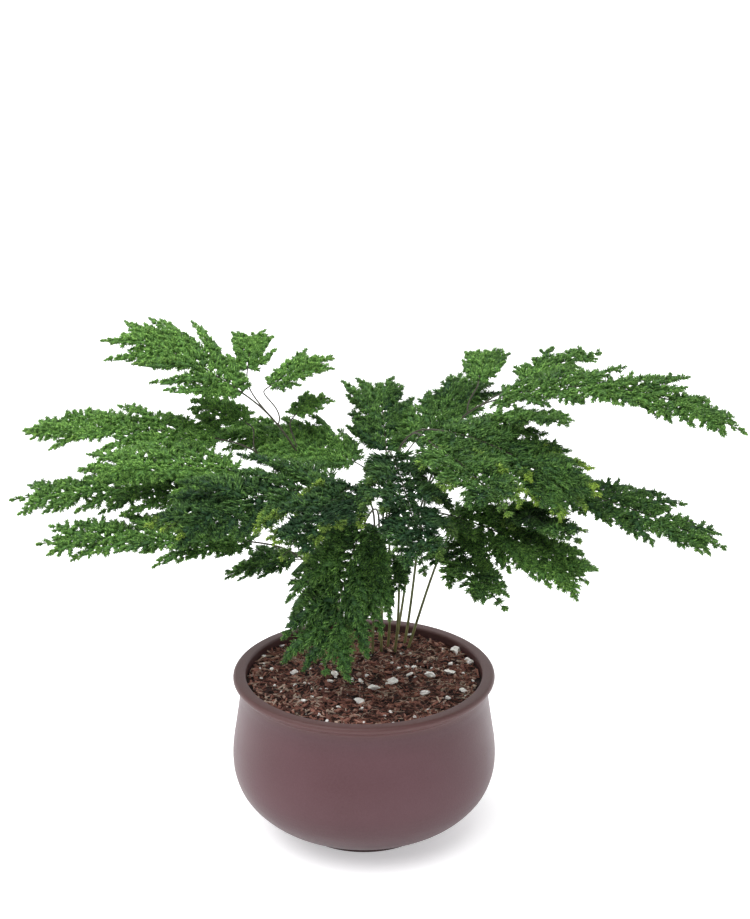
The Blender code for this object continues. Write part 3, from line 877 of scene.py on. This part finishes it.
@dataclass(frozen=True)
class Frond:
    """One flat frond and the bare stalk that carries it, in millimetres.

    Its line runs from the stalk's root by the stalk's two handles and the shoulder to the tip, and
    the leafy midrib between the last two bows up.
    """

    line: tuple[Point, ...]
    bow: float  # how far the handle of the midrib lies over the middle of its ends
    half_width: float  # the length of its longest plume
    pairs: int  # of main plumes
    # how bright the frond's green is: partly its age, partly painted light and shade
    growth: GrowthAndShade = GrowthAndShade.MIDDLE
    facing: float = 8.0  # how far its upper side turns to the front, in degrees
    fork: float = 0.0  # how far up the main stalk it leaves it, and 0 for the main stalk itself
    young: float = 0.0  # how much yellow-green growth its plumes end in
    habit: Habit = Habit.OPEN

    def rib(self) -> Vector:
        """Returns the straight way from its shoulder to its tip."""
        return Vector(self.line[4]) - Vector(self.line[3])

    def spot(self, points: list[Vector], share: float) -> Spot:
        """Finds a spot of its line, turned with its plane.

        Args:
            points: The points that pull this part of the line.
            share: How far along this part the spot is.

        Returns:
            The spot.
        """
        middle, heading = pulled(points, share)
        side = self.rib().cross(UP).normalized()
        upward = side.cross(heading).normalized()
        roll = math.radians(self.facing) * -side.y
        upward = upward * math.cos(roll) + heading.cross(upward) * math.sin(roll)
        return Spot(middle, heading, upward)

    def stalk(self, share: float) -> Spot:
        """Returns a spot of its bare stalk."""
        return self.spot([Vector(point) for point in self.line[:4]], share)

    def midrib(self, share: float) -> Spot:
        """Returns a spot of its leafy midrib."""
        shoulder, tip = Vector(self.line[3]), Vector(self.line[4])
        return self.spot([shoulder, (shoulder + tip) / 2 + UP * self.bow, tip], share)


@dataclass(frozen=True)
class Bud:
    """Where a plume leaves its midrib, with its small differences from an even frond."""

    side: int  # 1 for the left, seen from above, and -1 for the right
    share: float  # how far along the midrib it is
    stretch: float  # its length as a share of the even one
    turn: float  # how far it turns from the even one, in degrees
    lift: float  # how far it rises over the even one


@dataclass(frozen=True)
class SprigKit:
    """A few sprigs clothed with needles, which are copied all over the plant."""

    name: str
    variants: int = 14
    needles: int = 25
    reach: float = 6.0  # the sprig's length before its last needles
    lengths: Pair = (2.3, 3.6)  # the shortest and the longest needle
    half_width: float = 0.74  # half a needle's width where it is widest
    widest: float = 0.45  # how far along a needle that is, as a share of its length
    lean: Pair = (40.0, 78.0)  # how far needles lean away from the sprig, in degrees
    thickness: float = 0.75  # how thick the sprig is, as a share of its width

    def sprig(self, index: int) -> Stamp:
        """Makes one sprig along the Z axis, with its flat side up along Y.

        Args:
            index: Which of the variants it is.

        Returns:
            The sprig as a stamp.
        """
        draw = random.Random(f"{self.name} {index}")
        shape = bmesh.new()
        tip = shape.verts.layers.float.new("tip")
        flatten = Matrix.Diagonal((1.0, self.thickness, 1.0, 1.0))
        for needle in range(self.needles):
            share = (needle + draw.random()) / self.needles
            around = GOLDEN_TURN * needle + draw.uniform(-0.35, 0.35)
            lean = math.radians(draw.uniform(*self.lean)) * (1.0 - 0.6 * share**2)
            length = draw.uniform(*self.lengths) * (1.0 - 0.15 * share)
            turn = Matrix.Rotation(around, 4, "Z") @ Matrix.Rotation(lean, 4, "Y")
            place = flatten @ Matrix.Translation((0, 0, self.reach * share)) @ turn
            # painted highlight: points are paler towards the sprig's end, and brighter at random from needle to
            # needle
            self.grow_needle(shape, tip, length, place, (0.35 + 0.65 * share) * draw.random() ** 1.4 * 1.6)
        return Stamp(f"{self.name} {index}", shape)

    def grow_needle(
        self, shape: Shape, tip: bmesh.types.BMLayerItem, length: float, place: Matrix, light: float
    ) -> None:
        """Draws a slim needle, pointed at both ends, out of a three-sided cone.

        Args:
            shape: The sprig.
            tip: The layer that holds how pale a vertex is, more the further out it is, for the painted highlight.
            length: How long the needle is.
            place: Where it starts, and its turn.
            light: What the layer holds at the needle's point, its painted highlight.
        """
        belly = length * self.widest
        upright = Matrix.Translation((0, 0, belly / 2))
        made = bmesh.ops.create_cone(
            shape, cap_ends=True, segments=3, radius1=0.0, radius2=self.half_width * 1.15, depth=belly, matrix=upright
        )
        ring = [vert for vert in made["verts"] if vert.co.z > belly / 2]
        point = ring[0]
        bmesh.ops.translate(shape, verts=[point], vec=(-point.co.x, -point.co.y, length - belly))
        bmesh.ops.transform(shape, matrix=place, verts=made["verts"])
        point[tip] = light
        ring[1][tip] = ring[2][tip] = light * 0.45

    def stamps(self) -> list[Stamp]:
        """Returns all the sprigs."""
        return [self.sprig(index) for index in range(self.variants)]


# Each habit's long and short sprigs: the outer fronds' are short and lobed, the inner ones' long and fine
SPRIG_KITS: dict[Habit, tuple[SprigKit, SprigKit]] = {
    Habit.OPEN: (
        SprigKit("lobed sprig", lengths=(3.0, 5.0), half_width=0.52, lean=(24.0, 63.0)),
        SprigKit("lobed crest", 8, 10, 1.8, lengths=(2.8, 4.6), half_width=0.52, lean=(22.0, 82.0)),
    ),
    Habit.DENSE: (
        SprigKit("fine sprig", lengths=(3.8, 6.2), half_width=0.44, lean=(20.0, 58.0), thickness=0.9),
        SprigKit("fine crest", 8, 10, 1.8, lengths=(3.4, 5.6), half_width=0.44, lean=(18.0, 75.0)),
    ),
}

# Half the width of the darker cores of each habit's sprigs and plumes, painted shade inside the foliage
CORE_WIDTHS: dict[Habit, Pair] = {Habit.OPEN: (1.7, 2.4), Habit.DENSE: (1.95, 2.9)}


class Foliage:
    """The stamps that clothe the fronds."""

    def __init__(self) -> None:
        """Makes each habit's long sprigs and short crests, and the spindle in the middle of all."""
        self.sprigs = {habit: kits[0].stamps() for habit, kits in SPRIG_KITS.items()}
        self.crests = {habit: kits[1].stamps() for habit, kits in SPRIG_KITS.items()}
        # the spindle is pressed darker inside sprigs and plumes, as painted shade
        self.core = self.spindle()

    def spindle(self) -> Stamp:
        """Makes a slim spindle, one millimetre long along Z.

        Returns:
            The spindle as a stamp.
        """
        shape = bmesh.new()
        upright = Matrix.Translation((0, 0, 0.2))
        bmesh.ops.create_cone(shape, cap_ends=True, segments=4, radius1=0.0, radius2=1.0, depth=0.4, matrix=upright)
        cap = max(shape.faces, key=lambda face: face.calc_center_median().z)
        bmesh.ops.poke(shape, faces=[cap])["verts"][0].co.z = 1.0
        return Stamp("sprig core", shape)


@dataclass(frozen=True)
class Growing:
    """One frond while it grows, with the random draws and the stamps that clothe it."""

    frond: Frond
    needles: Shape
    foliage: Foliage
    draw: random.Random
    scatter: float = 0.1  # how far a sprig's green strays from its plume's
    core: Pair = (0.7, 0.3)  # how thick a sprig's core is, and how much darker as painted shade in its middle

    def sprig(self, root: Spot, reach: float, size: float, tone: float, youth: float) -> None:
        """Grows one long sprig.

        Args:
            root: Where it starts, and its heading.
            reach: Its length before its last needles.
            size: The size of its needles.
            tone: How bright its green is.
            youth: How yellow its needles are.
        """
        draw, habit = self.draw, self.frond.habit
        # painted shade: a darker core inside the sprig
        core = root.frame(CORE_WIDTHS[habit][0] * size, self.core[0] * size, reach + 1.2)
        self.foliage.core.press(self.needles, core, tone=tone - self.core[1], youth=youth * 0.6)
        turn = Matrix.Rotation(draw.choice((0.0, math.pi)), 4, "Z")
        place = root.frame(size, size, reach / SPRIG_KITS[habit][0].reach) @ turn
        stamp = draw.choice(self.foliage.sprigs[habit])
        stamp.press(self.needles, place, tone=tone + draw.uniform(-self.scatter, self.scatter), youth=youth)

    def crest(self, root: Spot, size: float, tone: float, youth: float) -> None:
        """Grows one short sprig.

        Args:
            root: Where it starts, and its heading.
            size: Its size.
            tone: How bright its green is.
            youth: How yellow its needles are.
        """
        draw = self.draw
        place = root.frame(size, size, size) @ Matrix.Rotation(draw.uniform(0, math.tau), 4, "Z")
        stamp = draw.choice(self.foliage.crests[self.frond.habit])
        stamp.press(self.needles, place, tone=tone + draw.uniform(-self.scatter, self.scatter), youth=youth)


@dataclass
class LeafyStem:
    """A stem that stands in the soil, with its fronds, the main one first."""

    node: str  # the frame's node that it replaces
    fronds: tuple[Frond, ...]
    foliage: Foliage
    stalk_radii: Pair = (0.85, 0.5)  # at the soil and at the shoulder
    midrib_end: float = 0.3  # the midrib's radius at its tip
    plume_radii: Pair = (0.5, 0.28)  # at a plume's root and its tip
    plume_spread: Pair = (66.0, 22.0)  # a plume's angle at the shoulder, and how much less it is at the tip
    plume_rise: float = 0.12
    plume_droop: float = 0.16
    plume_tone: float = 0.12  # how far a plume's green strays from its frond's
    plume_core: Pair = (0.8, 0.35)  # how thick the plume's core is, and how much darker as painted shade in its middle
    root_depth: float = 8.0
    sprig_pitch: float = 4.5  # how far apart the sprigs of one side are
    sprig_length: float = 7.8  # the longest sprig

    def envelope(self, share: float) -> float:
        """Returns how long the plumes are along a midrib, as a share of the longest."""
        return min(1.0, 0.55 + 1.5 * share) * (1.0 - 0.9 * share) ** 0.6

    def buds(self, index: int) -> list[Bud]:
        """Lists the buds of a frond: the main ones, and smaller ones between them.

        Args:
            index: Which of the stem's fronds it is.

        Returns:
            The buds.
        """
        frond = self.fronds[index]
        spacing = 1.0 / (frond.pairs + 0.9)
        places = [(pair, side) for pair in range(frond.pairs) for side in (1, -1)]
        found = []
        draw = random.Random(f"{self.node} {index}")
        for pair, side in places:
            stretch, turn = draw.uniform(0.76, 1.12), draw.uniform(-10, 10)
            found.append(Bud(side, (pair + 0.4) * spacing, stretch, turn, draw.uniform(-0.12, 0.14)))
        draw = random.Random(f"{self.node} {index} between")
        for pair, side in places:
            share = (pair + 0.9 + draw.uniform(-0.08, 0.08)) * spacing
            stretch, turn = draw.uniform(*frond.habit.value), draw.uniform(-14, 14)
            found.append(Bud(side, share, stretch, turn, draw.uniform(-0.2, 0.3)))
        return found

    def plume(self, frond: Frond, bud: Bud, steps: int = 6) -> tuple[list[Spot], float]:
        """Lays out the axis of a plume.

        Args:
            frond: The frond that carries it.
            bud: Where it leaves the midrib.
            steps: How many stretches its axis has.

        Returns:
            The axis as spots, and its length.
        """
        root = frond.midrib(bud.share)
        length = frond.half_width * self.envelope(bud.share) * bud.stretch
        spread = math.radians(self.plume_spread[0] - self.plume_spread[1] * bud.share + bud.turn)
        rise, droop = self.plume_rise + bud.lift, self.plume_droop
        spots = []
        for step in range(steps + 1):
            reach = step / steps
            turn = spread * (1 - 0.28 * reach)
            ahead = root.across() * bud.side * math.sin(turn) + root.heading * math.cos(turn)
            lift = root.upward * (rise * reach - droop * reach**2)
            slope = (ahead + root.upward * (rise - 2 * droop * reach)).normalized()
            upward = (root.upward - slope * root.upward.dot(slope)).normalized()
            spots.append(Spot(root.middle + (ahead * reach + lift) * length, slope, upward))
        return spots, length

    def between(self, spots: list[Spot], share: float) -> Spot:
        """Finds a place between two spots of a line.

        Args:
            spots: The line.
            share: How far along it the place is.

        Returns:
            The spot there.
        """
        place = min(share, 0.9999) * (len(spots) - 1)
        first, second = spots[int(place)], spots[int(place) + 1]
        rest = place - int(place)
        return Spot(
            first.middle.lerp(second.middle, rest),
            first.heading.lerp(second.heading, rest).normalized(),
            first.upward.lerp(second.upward, rest).normalized(),
        )

    def clothe_plume(self, growing: Growing, twigs: Shape, bud: Bud) -> None:
        """Grows one plume with its sprigs.

        Args:
            growing: The frond that carries it.
            twigs: The stem's twigs.
            bud: Where it leaves the midrib.
        """
        draw, frond = growing.draw, growing.frond
        spots, length = self.plume(frond, bud)
        root, end = self.plume_radii
        radii = [root + (end - root) * index / (len(spots) - 1) for index in range(len(spots))]
        sweep(twigs, spots, radii, 4, fineness=0.75)
        tone = frond.growth.value + draw.uniform(-self.plume_tone, self.plume_tone)
        budding = spots[-1].middle.y < spots[0].middle.y and draw.random() < 0.65
        new = frond.young * draw.uniform(0.65, 1.1) if budding else 0.0
        # painted shade: darker cores along the plume
        thick, darker = self.plume_core
        for first, second in zip(spots, spots[2:]):
            core = first.frame(CORE_WIDTHS[frond.habit][1], thick, (second.middle - first.middle).length)
            growing.foliage.core.press(growing.needles, core, tone=tone - darker, youth=0.0)
        gap = frond.rib().length / (frond.pairs + 0.9) * math.sin(math.radians(60))
        longest = min(self.sprig_length, gap * 0.66, length * 0.4 + 1.5)
        count = max(3, round(length * 0.92 / self.sprig_pitch * 2))
        for index in range(count):
            share = 0.08 + 0.92 * (index + 0.5) / count
            spot = self.between(spots, share)
            side = 1 if index % 2 else -1
            turn = math.radians(58 - 24 * share + draw.uniform(-10, 10)) * side
            reach = longest * (1.0 - 0.7 * share**1.6) * draw.uniform(0.82, 1.2)
            youth = min(1.0, new * max(0.0, (share - 0.68) / 0.25))
            size = 1.05 - 0.25 * share
            growing.sprig(spot.leaving(turn, draw.uniform(-0.25, 0.3)), reach, size, tone, youth)
            if index % 2 == 0:
                rise = draw.uniform(0.5, 1.2) if index % 4 else draw.uniform(-1.0, -0.4)
                growing.crest(spot.leaving(draw.uniform(-0.5, 0.5), rise), size, tone + 0.05, youth)
        growing.sprig(self.between(spots, 1.0), 3.6, 0.72, tone, min(1.0, new))

    def clothe_midrib(self, growing: Growing) -> None:
        """Grows the short sprigs that stand on a frond's midrib, up to its tip.

        Args:
            growing: The frond.
        """
        draw, frond = growing.draw, growing.frond
        tone = frond.growth.value
        count = round(frond.rib().length * 0.94 / self.sprig_pitch * 2.4)
        for index in range(count):
            share = 0.06 + 0.94 * (index + 0.5) / count
            size = 1.05 - 0.25 * share
            side = (1, -1, 0)[index % 3]
            lift = draw.uniform(-0.15, 0.5) if side else draw.uniform(0.3, 1.1)
            turn = math.radians(60 - 26 * share + draw.uniform(-10, 10)) * side
            youth = frond.young * max(0.0, (share - 0.8) * 2.0)
            twig = frond.midrib(share).leaving(turn, lift)
            if side:
                growing.sprig(twig, 5.5 * (1.0 - 0.4 * share), size, tone, youth)
            else:
                growing.crest(twig, size, tone, youth)
        growing.sprig(frond.midrib(1.0), 2.5, 0.75, tone, frond.young)

    def draw_stalk(self, twigs: Shape, frond: Frond) -> None:
        """Draws a frond's stalk and midrib as one tube.

        Args:
            twigs: The stem's twigs.
            frond: The frond.
        """
        base, top = self.stalk_radii if frond.fork == 0 else (self.stalk_radii[1] * 0.95, self.stalk_radii[1] * 0.8)
        spots = [frond.stalk(step / 18) for step in range(18)] + [frond.midrib(step / 14) for step in range(15)]
        radii = [base + (top - base) * step / 18 for step in range(18)]
        radii += [top + (self.midrib_end - top) * step / 14 for step in range(15)]
        if frond.fork == 0:
            spots.insert(0, Spot(spots[0].middle - UP * self.root_depth, UP, Vector((0, -1, 0))))
            radii.insert(0, base)
        sweep(twigs, spots, radii, 8, fineness=0.0)

    def build(self, leaf: Material, bark: Material) -> None:
        """Builds the stem's twigs and needles.

        Args:
            leaf: The needles' material.
            bark: The twigs' material.
        """
        needles, twigs = bmesh.new(), bmesh.new()
        for layer in ("tip", "tone", "youth"):
            needles.verts.layers.float.new(layer)
        twigs.verts.layers.float.new("fineness")
        for index, frond in enumerate(self.fronds):
            growing = Growing(frond, needles, self.foliage, random.Random(f"{self.node} {index} sprigs"))
            self.draw_stalk(twigs, frond)
            for bud in self.buds(index):
                self.clothe_plume(growing, twigs, bud)
            self.clothe_midrib(growing)
        bmesh.ops.recalc_face_normals(twigs, faces=twigs.faces)
        name = self.node.removeprefix("stem_")
        mount(f"{name}_needles", needles, leaf, "foliage", self.node)
        mount(f"{name}_twigs", twigs, bark, "foliage", self.node)


# Each leafy stem: the frame's node, and its fronds, the main one first
LEAFY_STEMS: dict[str, tuple[Frond, ...]] = {
    "stem_left_top": (
        Frond(((-7, 48, 90.9), (-20.1, 48.4, 154.9), (-26.3, 37.9, 217.1), (-66, 50, 243), (-138, 72, 274)),
              8, 50, 7, GrowthAndShade.SUNLIT, facing=16, young=0.15),
        Frond(((-51.2, 46.1, 230.1), (-60.3, 50.8, 239.2), (-68.7, 60.2, 244.8), (-68, 68, 252), (-66, 94, 268)),
              4, 24, 3, GrowthAndShade.SUNLIT, fork=0.86, young=0.15),
        Frond(((-49.4, 45.8, 227.9), (-44.9, 54.2, 235.4), (-61.2, 54.3, 243.2), (-57, 56, 246), (-20, 74, 259)),
              5, 26, 3, GrowthAndShade.SUNLIT, fork=0.84, young=0.15),
        Frond(((-38.2, 44.3, 210.8), (-38.4, 54.5, 216.3), (-45.7, 56.3, 223.1), (-42, 60, 227), (-25, 78, 235)),
              4, 16, 2, GrowthAndShade.SUNLIT, fork=0.7, young=0.1),
    ),
    "stem_left_high": (
        Frond(((-12, 42, 90.8), (-26.8, 44.2, 145.5), (-36.3, 49.2, 208.2), (-78, 52, 216), (-196, 60, 220)),
              9, 42, 7, GrowthAndShade.SUNLIT, facing=18, young=0.15),
        Frond(((-48.1, 49, 195.9), (-57.5, 41.2, 202.2), (-58.7, 32.2, 201.6), (-66, 30, 204), (-155, 0, 216)),
              8, 38, 5, GrowthAndShade.SUNLIT, facing=18, fork=0.7, young=0.1),
        Frond(((-62.3, 50.7, 209.7), (-66.3, 53.5, 214.5), (-62, 59.9, 219.6), (-66, 62, 222), (-100, 80, 232)),
              5, 23, 3, GrowthAndShade.SUNLIT, fork=0.86, young=0.1),
    ),
    "stem_left_middle": (
        Frond(((-10, 36, 91.1), (-21.2, 32.4, 135.8), (-25.7, 17.6, 189.6), (-60, 20, 194), (-200, 30, 188)),
              12, 48, 7, GrowthAndShade.BRIGHT, facing=16, young=0.1),
        Frond(((-28, 24.8, 162.3), (-33.2, 25.4, 161.8), (-32.1, 26.9, 152.2), (-36, 28, 152), (-79, 40, 139)),
              5, 27, 3, fork=0.54),
    ),
    "stem_left_low": (
        Frond(((-5, 31, 91.6), (-16.7, 22, 131.3), (-24.6, -6.5, 170.9), (-56, -8, 176), (-178, -14, 178)),
              9, 42, 7, GrowthAndShade.BRIGHT, facing=14, young=0.15),
    ),
    "stem_front_left": (
        Frond(((0, 35, 90.9), (-2.2, 27.3, 138.5), (20.5, 18.2, 199.2), (-10, 0, 206), (-104, -56, 203)),
              12, 54, 6, GrowthAndShade.DARK, facing=24, young=0.85, habit=Habit.DENSE),
        Frond(((-1.2, 6.2, 201.3), (-3.2, -1, 206.7), (0, -7.7, 212.2), (-3, -14, 213), (-40, -98, 204)),
              10, 36, 4, GrowthAndShade.SHADED, fork=0.88, young=0.6, habit=Habit.DENSE),
    ),
    "stem_front_drooping": (
        Frond(((5, 30, 91.9), (4.3, 21.6, 133.5), (15.4, 15.4, 208), (2, -8, 191), (-21, -48, 118)),
              22, 60, 6, habit=Habit.DENSE),
    ),
    "stem_front_centre": (
        Frond(((10, 34, 91.2), (11.1, 28.7, 144.6), (9.8, 49.8, 221), (15, 10, 223), (31, -112, 201)),
              14, 41, 5, GrowthAndShade.SHADED, young=0.2, habit=Habit.DENSE),
    ),
    "stem_front_right": (
        Frond(((18, 34, 90.7), (23.6, 23.2, 136.5), (12.9, 4.7, 197.2), (43, -14, 196), (117, -60, 175)),
              9, 47, 6, GrowthAndShade.BRIGHT, facing=20, young=0.1, habit=Habit.DENSE),
        Frond(((26.8, 0.4, 185.7), (32, -9.5, 189.5), (35.4, -19.7, 183.8), (40, -28, 184), (72, -86, 171)),
              7, 27, 3, fork=0.74, young=0.1, habit=Habit.DENSE),
        Frond(((20.8, 15.9, 153.3), (20.5, 10.9, 157.7), (22, 7.9, 166.3), (20, 4, 166), (4, -30, 148)),
              5, 21, 3, fork=0.44, habit=Habit.DENSE),
    ),
    "stem_right_centre": (
        Frond(((14, 41, 91.1), (19.3, 34.6, 150.4), (2.6, 39.2, 231), (38, 12, 236), (116, -48, 213)),
              17, 49, 6, facing=20, young=0.8, habit=Habit.DENSE),
        Frond(((27.4, 20.5, 231.1), (34.5, 8, 235.7), (35.8, -4, 232.9), (40, -14, 234), (72, -94, 226)),
              8, 36, 3, fork=0.88, young=0.5, habit=Habit.DENSE),
    ),
    "stem_right_middle": (
        Frond(((26, 38, 91.5), (40.5, 31.7, 143.1), (53.3, 27.1, 208.4), (90, 10, 207), (193, -38, 185)),
              9, 38, 7, facing=18, young=0.1),
        Frond(((74.1, 17.3, 202.9), (80.8, 5.7, 204.2), (74.4, -4.6, 194.8), (79, -12, 197), (112, -66, 200)),
              6, 24, 3, GrowthAndShade.DARK, fork=0.84, young=0.3, habit=Habit.DENSE),
    ),
    "stem_right_top": (
        Frond(((24, 46, 90.9), (34.1, 44.7, 153.7), (30.5, 57.7, 222.9), (70, 40, 243), (204, -20, 245)),
              33, 40, 8, GrowthAndShade.BRIGHT, facing=16, young=0.1),
        Frond(((59.4, 44.4, 235.6), (58, 49.1, 240.3), (63.3, 46.9, 246.9), (65, 50, 250), (72, 78, 262)),
              5, 24, 3, GrowthAndShade.BRIGHT, fork=0.9, young=0.1),
        Frond(((66.6, 41.5, 241.1), (72.9, 48.7, 243.4), (80.8, 51.1, 246), (87, 54, 249), (137, 84, 260)),
              6, 26, 3, GrowthAndShade.BRIGHT, fork=0.97, young=0.1),
        Frond(((51, 47.3, 225.5), (60.7, 40.6, 235.6), (69.6, 31.1, 237.6), (76, 22, 241), (108, -24, 250)),
              4, 24, 3, fork=0.8, young=0.1),
    ),
    "stem_back_top": (
        Frond(((9, 50, 91), (9.9, 50.9, 137), (15.2, 27.1, 184.5), (13, 54, 206), (9, 104, 234)),
              6, 41, 5, young=0.1, habit=Habit.DENSE),
        Frond(((13.5, 45.5, 195.5), (16.1, 48.4, 203), (22.3, 46.3, 208.5), (26, 50, 212), (68, 92, 240)),
              6, 36, 4, fork=0.86, young=0.1, habit=Habit.DENSE),
        Frond(((13.4, 42, 184.4), (7.7, 44.9, 192.1), (4, 48.6, 198.4), (-2, 50, 202), (-54, 62, 213)),
              8, 45, 5, GrowthAndShade.BRIGHT, facing=18, fork=0.74, young=0.1, habit=Habit.DENSE),
    ),
    "stem_back_left": (
        Frond(((1, 54, 90.5), (-7, 58.4, 137.1), (-4.5, 59.6, 190.4), (-35, 74, 202), (-90, 100, 205)),
              9, 34, 4, GrowthAndShade.SUNLIT, young=0.1, habit=Habit.DENSE),
    ),
    "stem_back_right": (
        Frond(((19, 52, 90.4), (28.1, 57.3, 137), (27.1, 62.2, 196.8), (60, 76, 200), (122, 102, 188)),
              9, 34, 4, GrowthAndShade.BRIGHT, young=0.1, habit=Habit.DENSE),
    ),
}

# The larger perlite grains: x, y and size in millimetres
PERLITE: tuple[Point, ...] = (
    (16, -12, 6.2), (6, -20, 6.0), (-2, -36, 4.8), (38, -1, 5.0), (49, 3, 5.2), (50, 15, 3.6), (56, -20, 3.6),
    (47, -30, 3.6), (34, -24, 5.2), (25, 11, 3.0), (29, 11, 3.0), (26, 0, 3.4), (20, 9, 2.6), (2, -3, 3.0),
    (-7, -5, 3.2), (-2, -9, 3.0), (-17, 0, 3.8), (-19, -10, 3.6), (-14, 8, 2.6), (-40, 2, 4.6), (-53, 8, 3.0),
    (-59, 27, 2.8), (-42, 49, 3.0), (-34, -33, 3.2), (-14, -42, 2.4), (-1, -44, 2.6), (15, -46, 2.0), (54, 35, 5.4),
    (62, 19, 3.8), (60, 23, 3.4), (22, 30, 2.4), (27, 59, 2.6), (-49, 42, 2.8), (-26, 33, 2.6), (16, 16, 2.0),
    (39, 10, 1.6), (44, -36, 2.0), (-58, 17, 1.8), (-27, 27, 2.0), (-25, 15, 1.8),
)


# ---- Studio ----


@dataclass
class Studio:
    """The plain pale floor, the soft light and the camera, in metres."""

    eye: Point = (0.0063, -0.99694, 0.55988)
    pitch: float = 18.701  # how far the camera looks down, in degrees
    lens: float = 74.7  # in millimetres, for a sensor of 36 along the picture's long side
    floor_radius: float = 16.0
    sky: Pair = (0.2, 1.14)  # the strength of the light from the front and from the back
    sun_tilt: Point = (12.0, -18.0, 0.0)  # in degrees
    sun_width: float = 70.0  # in degrees, seen from the table
    sun_power: float = 3.2

    def lay_floor(self) -> None:
        """Lays the floor as a wide disc."""
        shape = bmesh.new()
        bmesh.ops.create_circle(shape, cap_ends=True, segments=96, radius=self.floor_radius)
        floor = new_piece("floor", shape, FloorFinish().material(), Facet.FLAT)

    def light_world(self) -> None:
        """Lights the scene from all round, less from the front, with a white backdrop."""
        world = bpy.data.worlds.new("soft_room")
        world.use_nodes = True
        background = world.node_tree.nodes["Background"]
        background.inputs["Color"].default_value = (1.0, 1.0, 1.0, 1.0)
        graph = Graph(world.node_tree)
        way = graph.add("SeparateXYZ", {0: graph.add("TexCoord").outputs["Generated"]})
        light = graph.ranged(way.outputs["Y"], -1.0, 0.12, *self.sky)
        backdrop = graph.add("LightPath").outputs["Is Camera Ray"]
        graph.join(graph.maths("MAXIMUM", light, backdrop), background.inputs["Strength"])
        bpy.context.scene.world = world

    def hang_sun(self) -> None:
        """Hangs a broad, soft light far overhead."""
        light = bpy.data.lights.new("top_light", "SUN")
        light.angle = math.radians(self.sun_width)
        light.energy = self.sun_power
        lamp = bpy.data.objects.new("top_light", light)
        lamp.rotation_euler = [math.radians(turn) for turn in self.sun_tilt]
        bpy.context.scene.collection.objects.link(lamp)

    def set_camera(self) -> None:
        """Sets the camera at the photograph's viewing angle."""
        data = bpy.data.cameras.new("camera")
        data.lens = self.lens
        data.sensor_width = 36.0
        camera = bpy.data.objects.new("camera", data)
        camera.location = self.eye
        camera.rotation_euler = (math.radians(90.0 - self.pitch), 0.0, 0.0)
        bpy.context.scene.collection.objects.link(camera)
        bpy.context.scene.camera = camera

    def build(self) -> None:
        """Sets up the whole studio."""
        bpy.context.scene.view_settings.view_transform = "Standard"
        self.set_camera()
        self.lay_floor()
        self.light_world()
        self.hang_sun()


def main() -> None:
    """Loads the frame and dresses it."""
    logging.basicConfig(level=logging.INFO, format="%(name)s: %(message)s")
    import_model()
    Studio().build()
    ClayPot().build()
    feet = tuple(fronds[0].line[0][:2] for fronds in LEAFY_STEMS.values())
    PottingSoil(PERLITE, feet).build()
    foliage, leaf, bark = Foliage(), NeedleFinish().material(), TwigFinish().material()
    for node, fronds in LEAFY_STEMS.items():
        LeafyStem(node, fronds, foliage).build(leaf, bark)


if __name__ == "__main__":
    main()
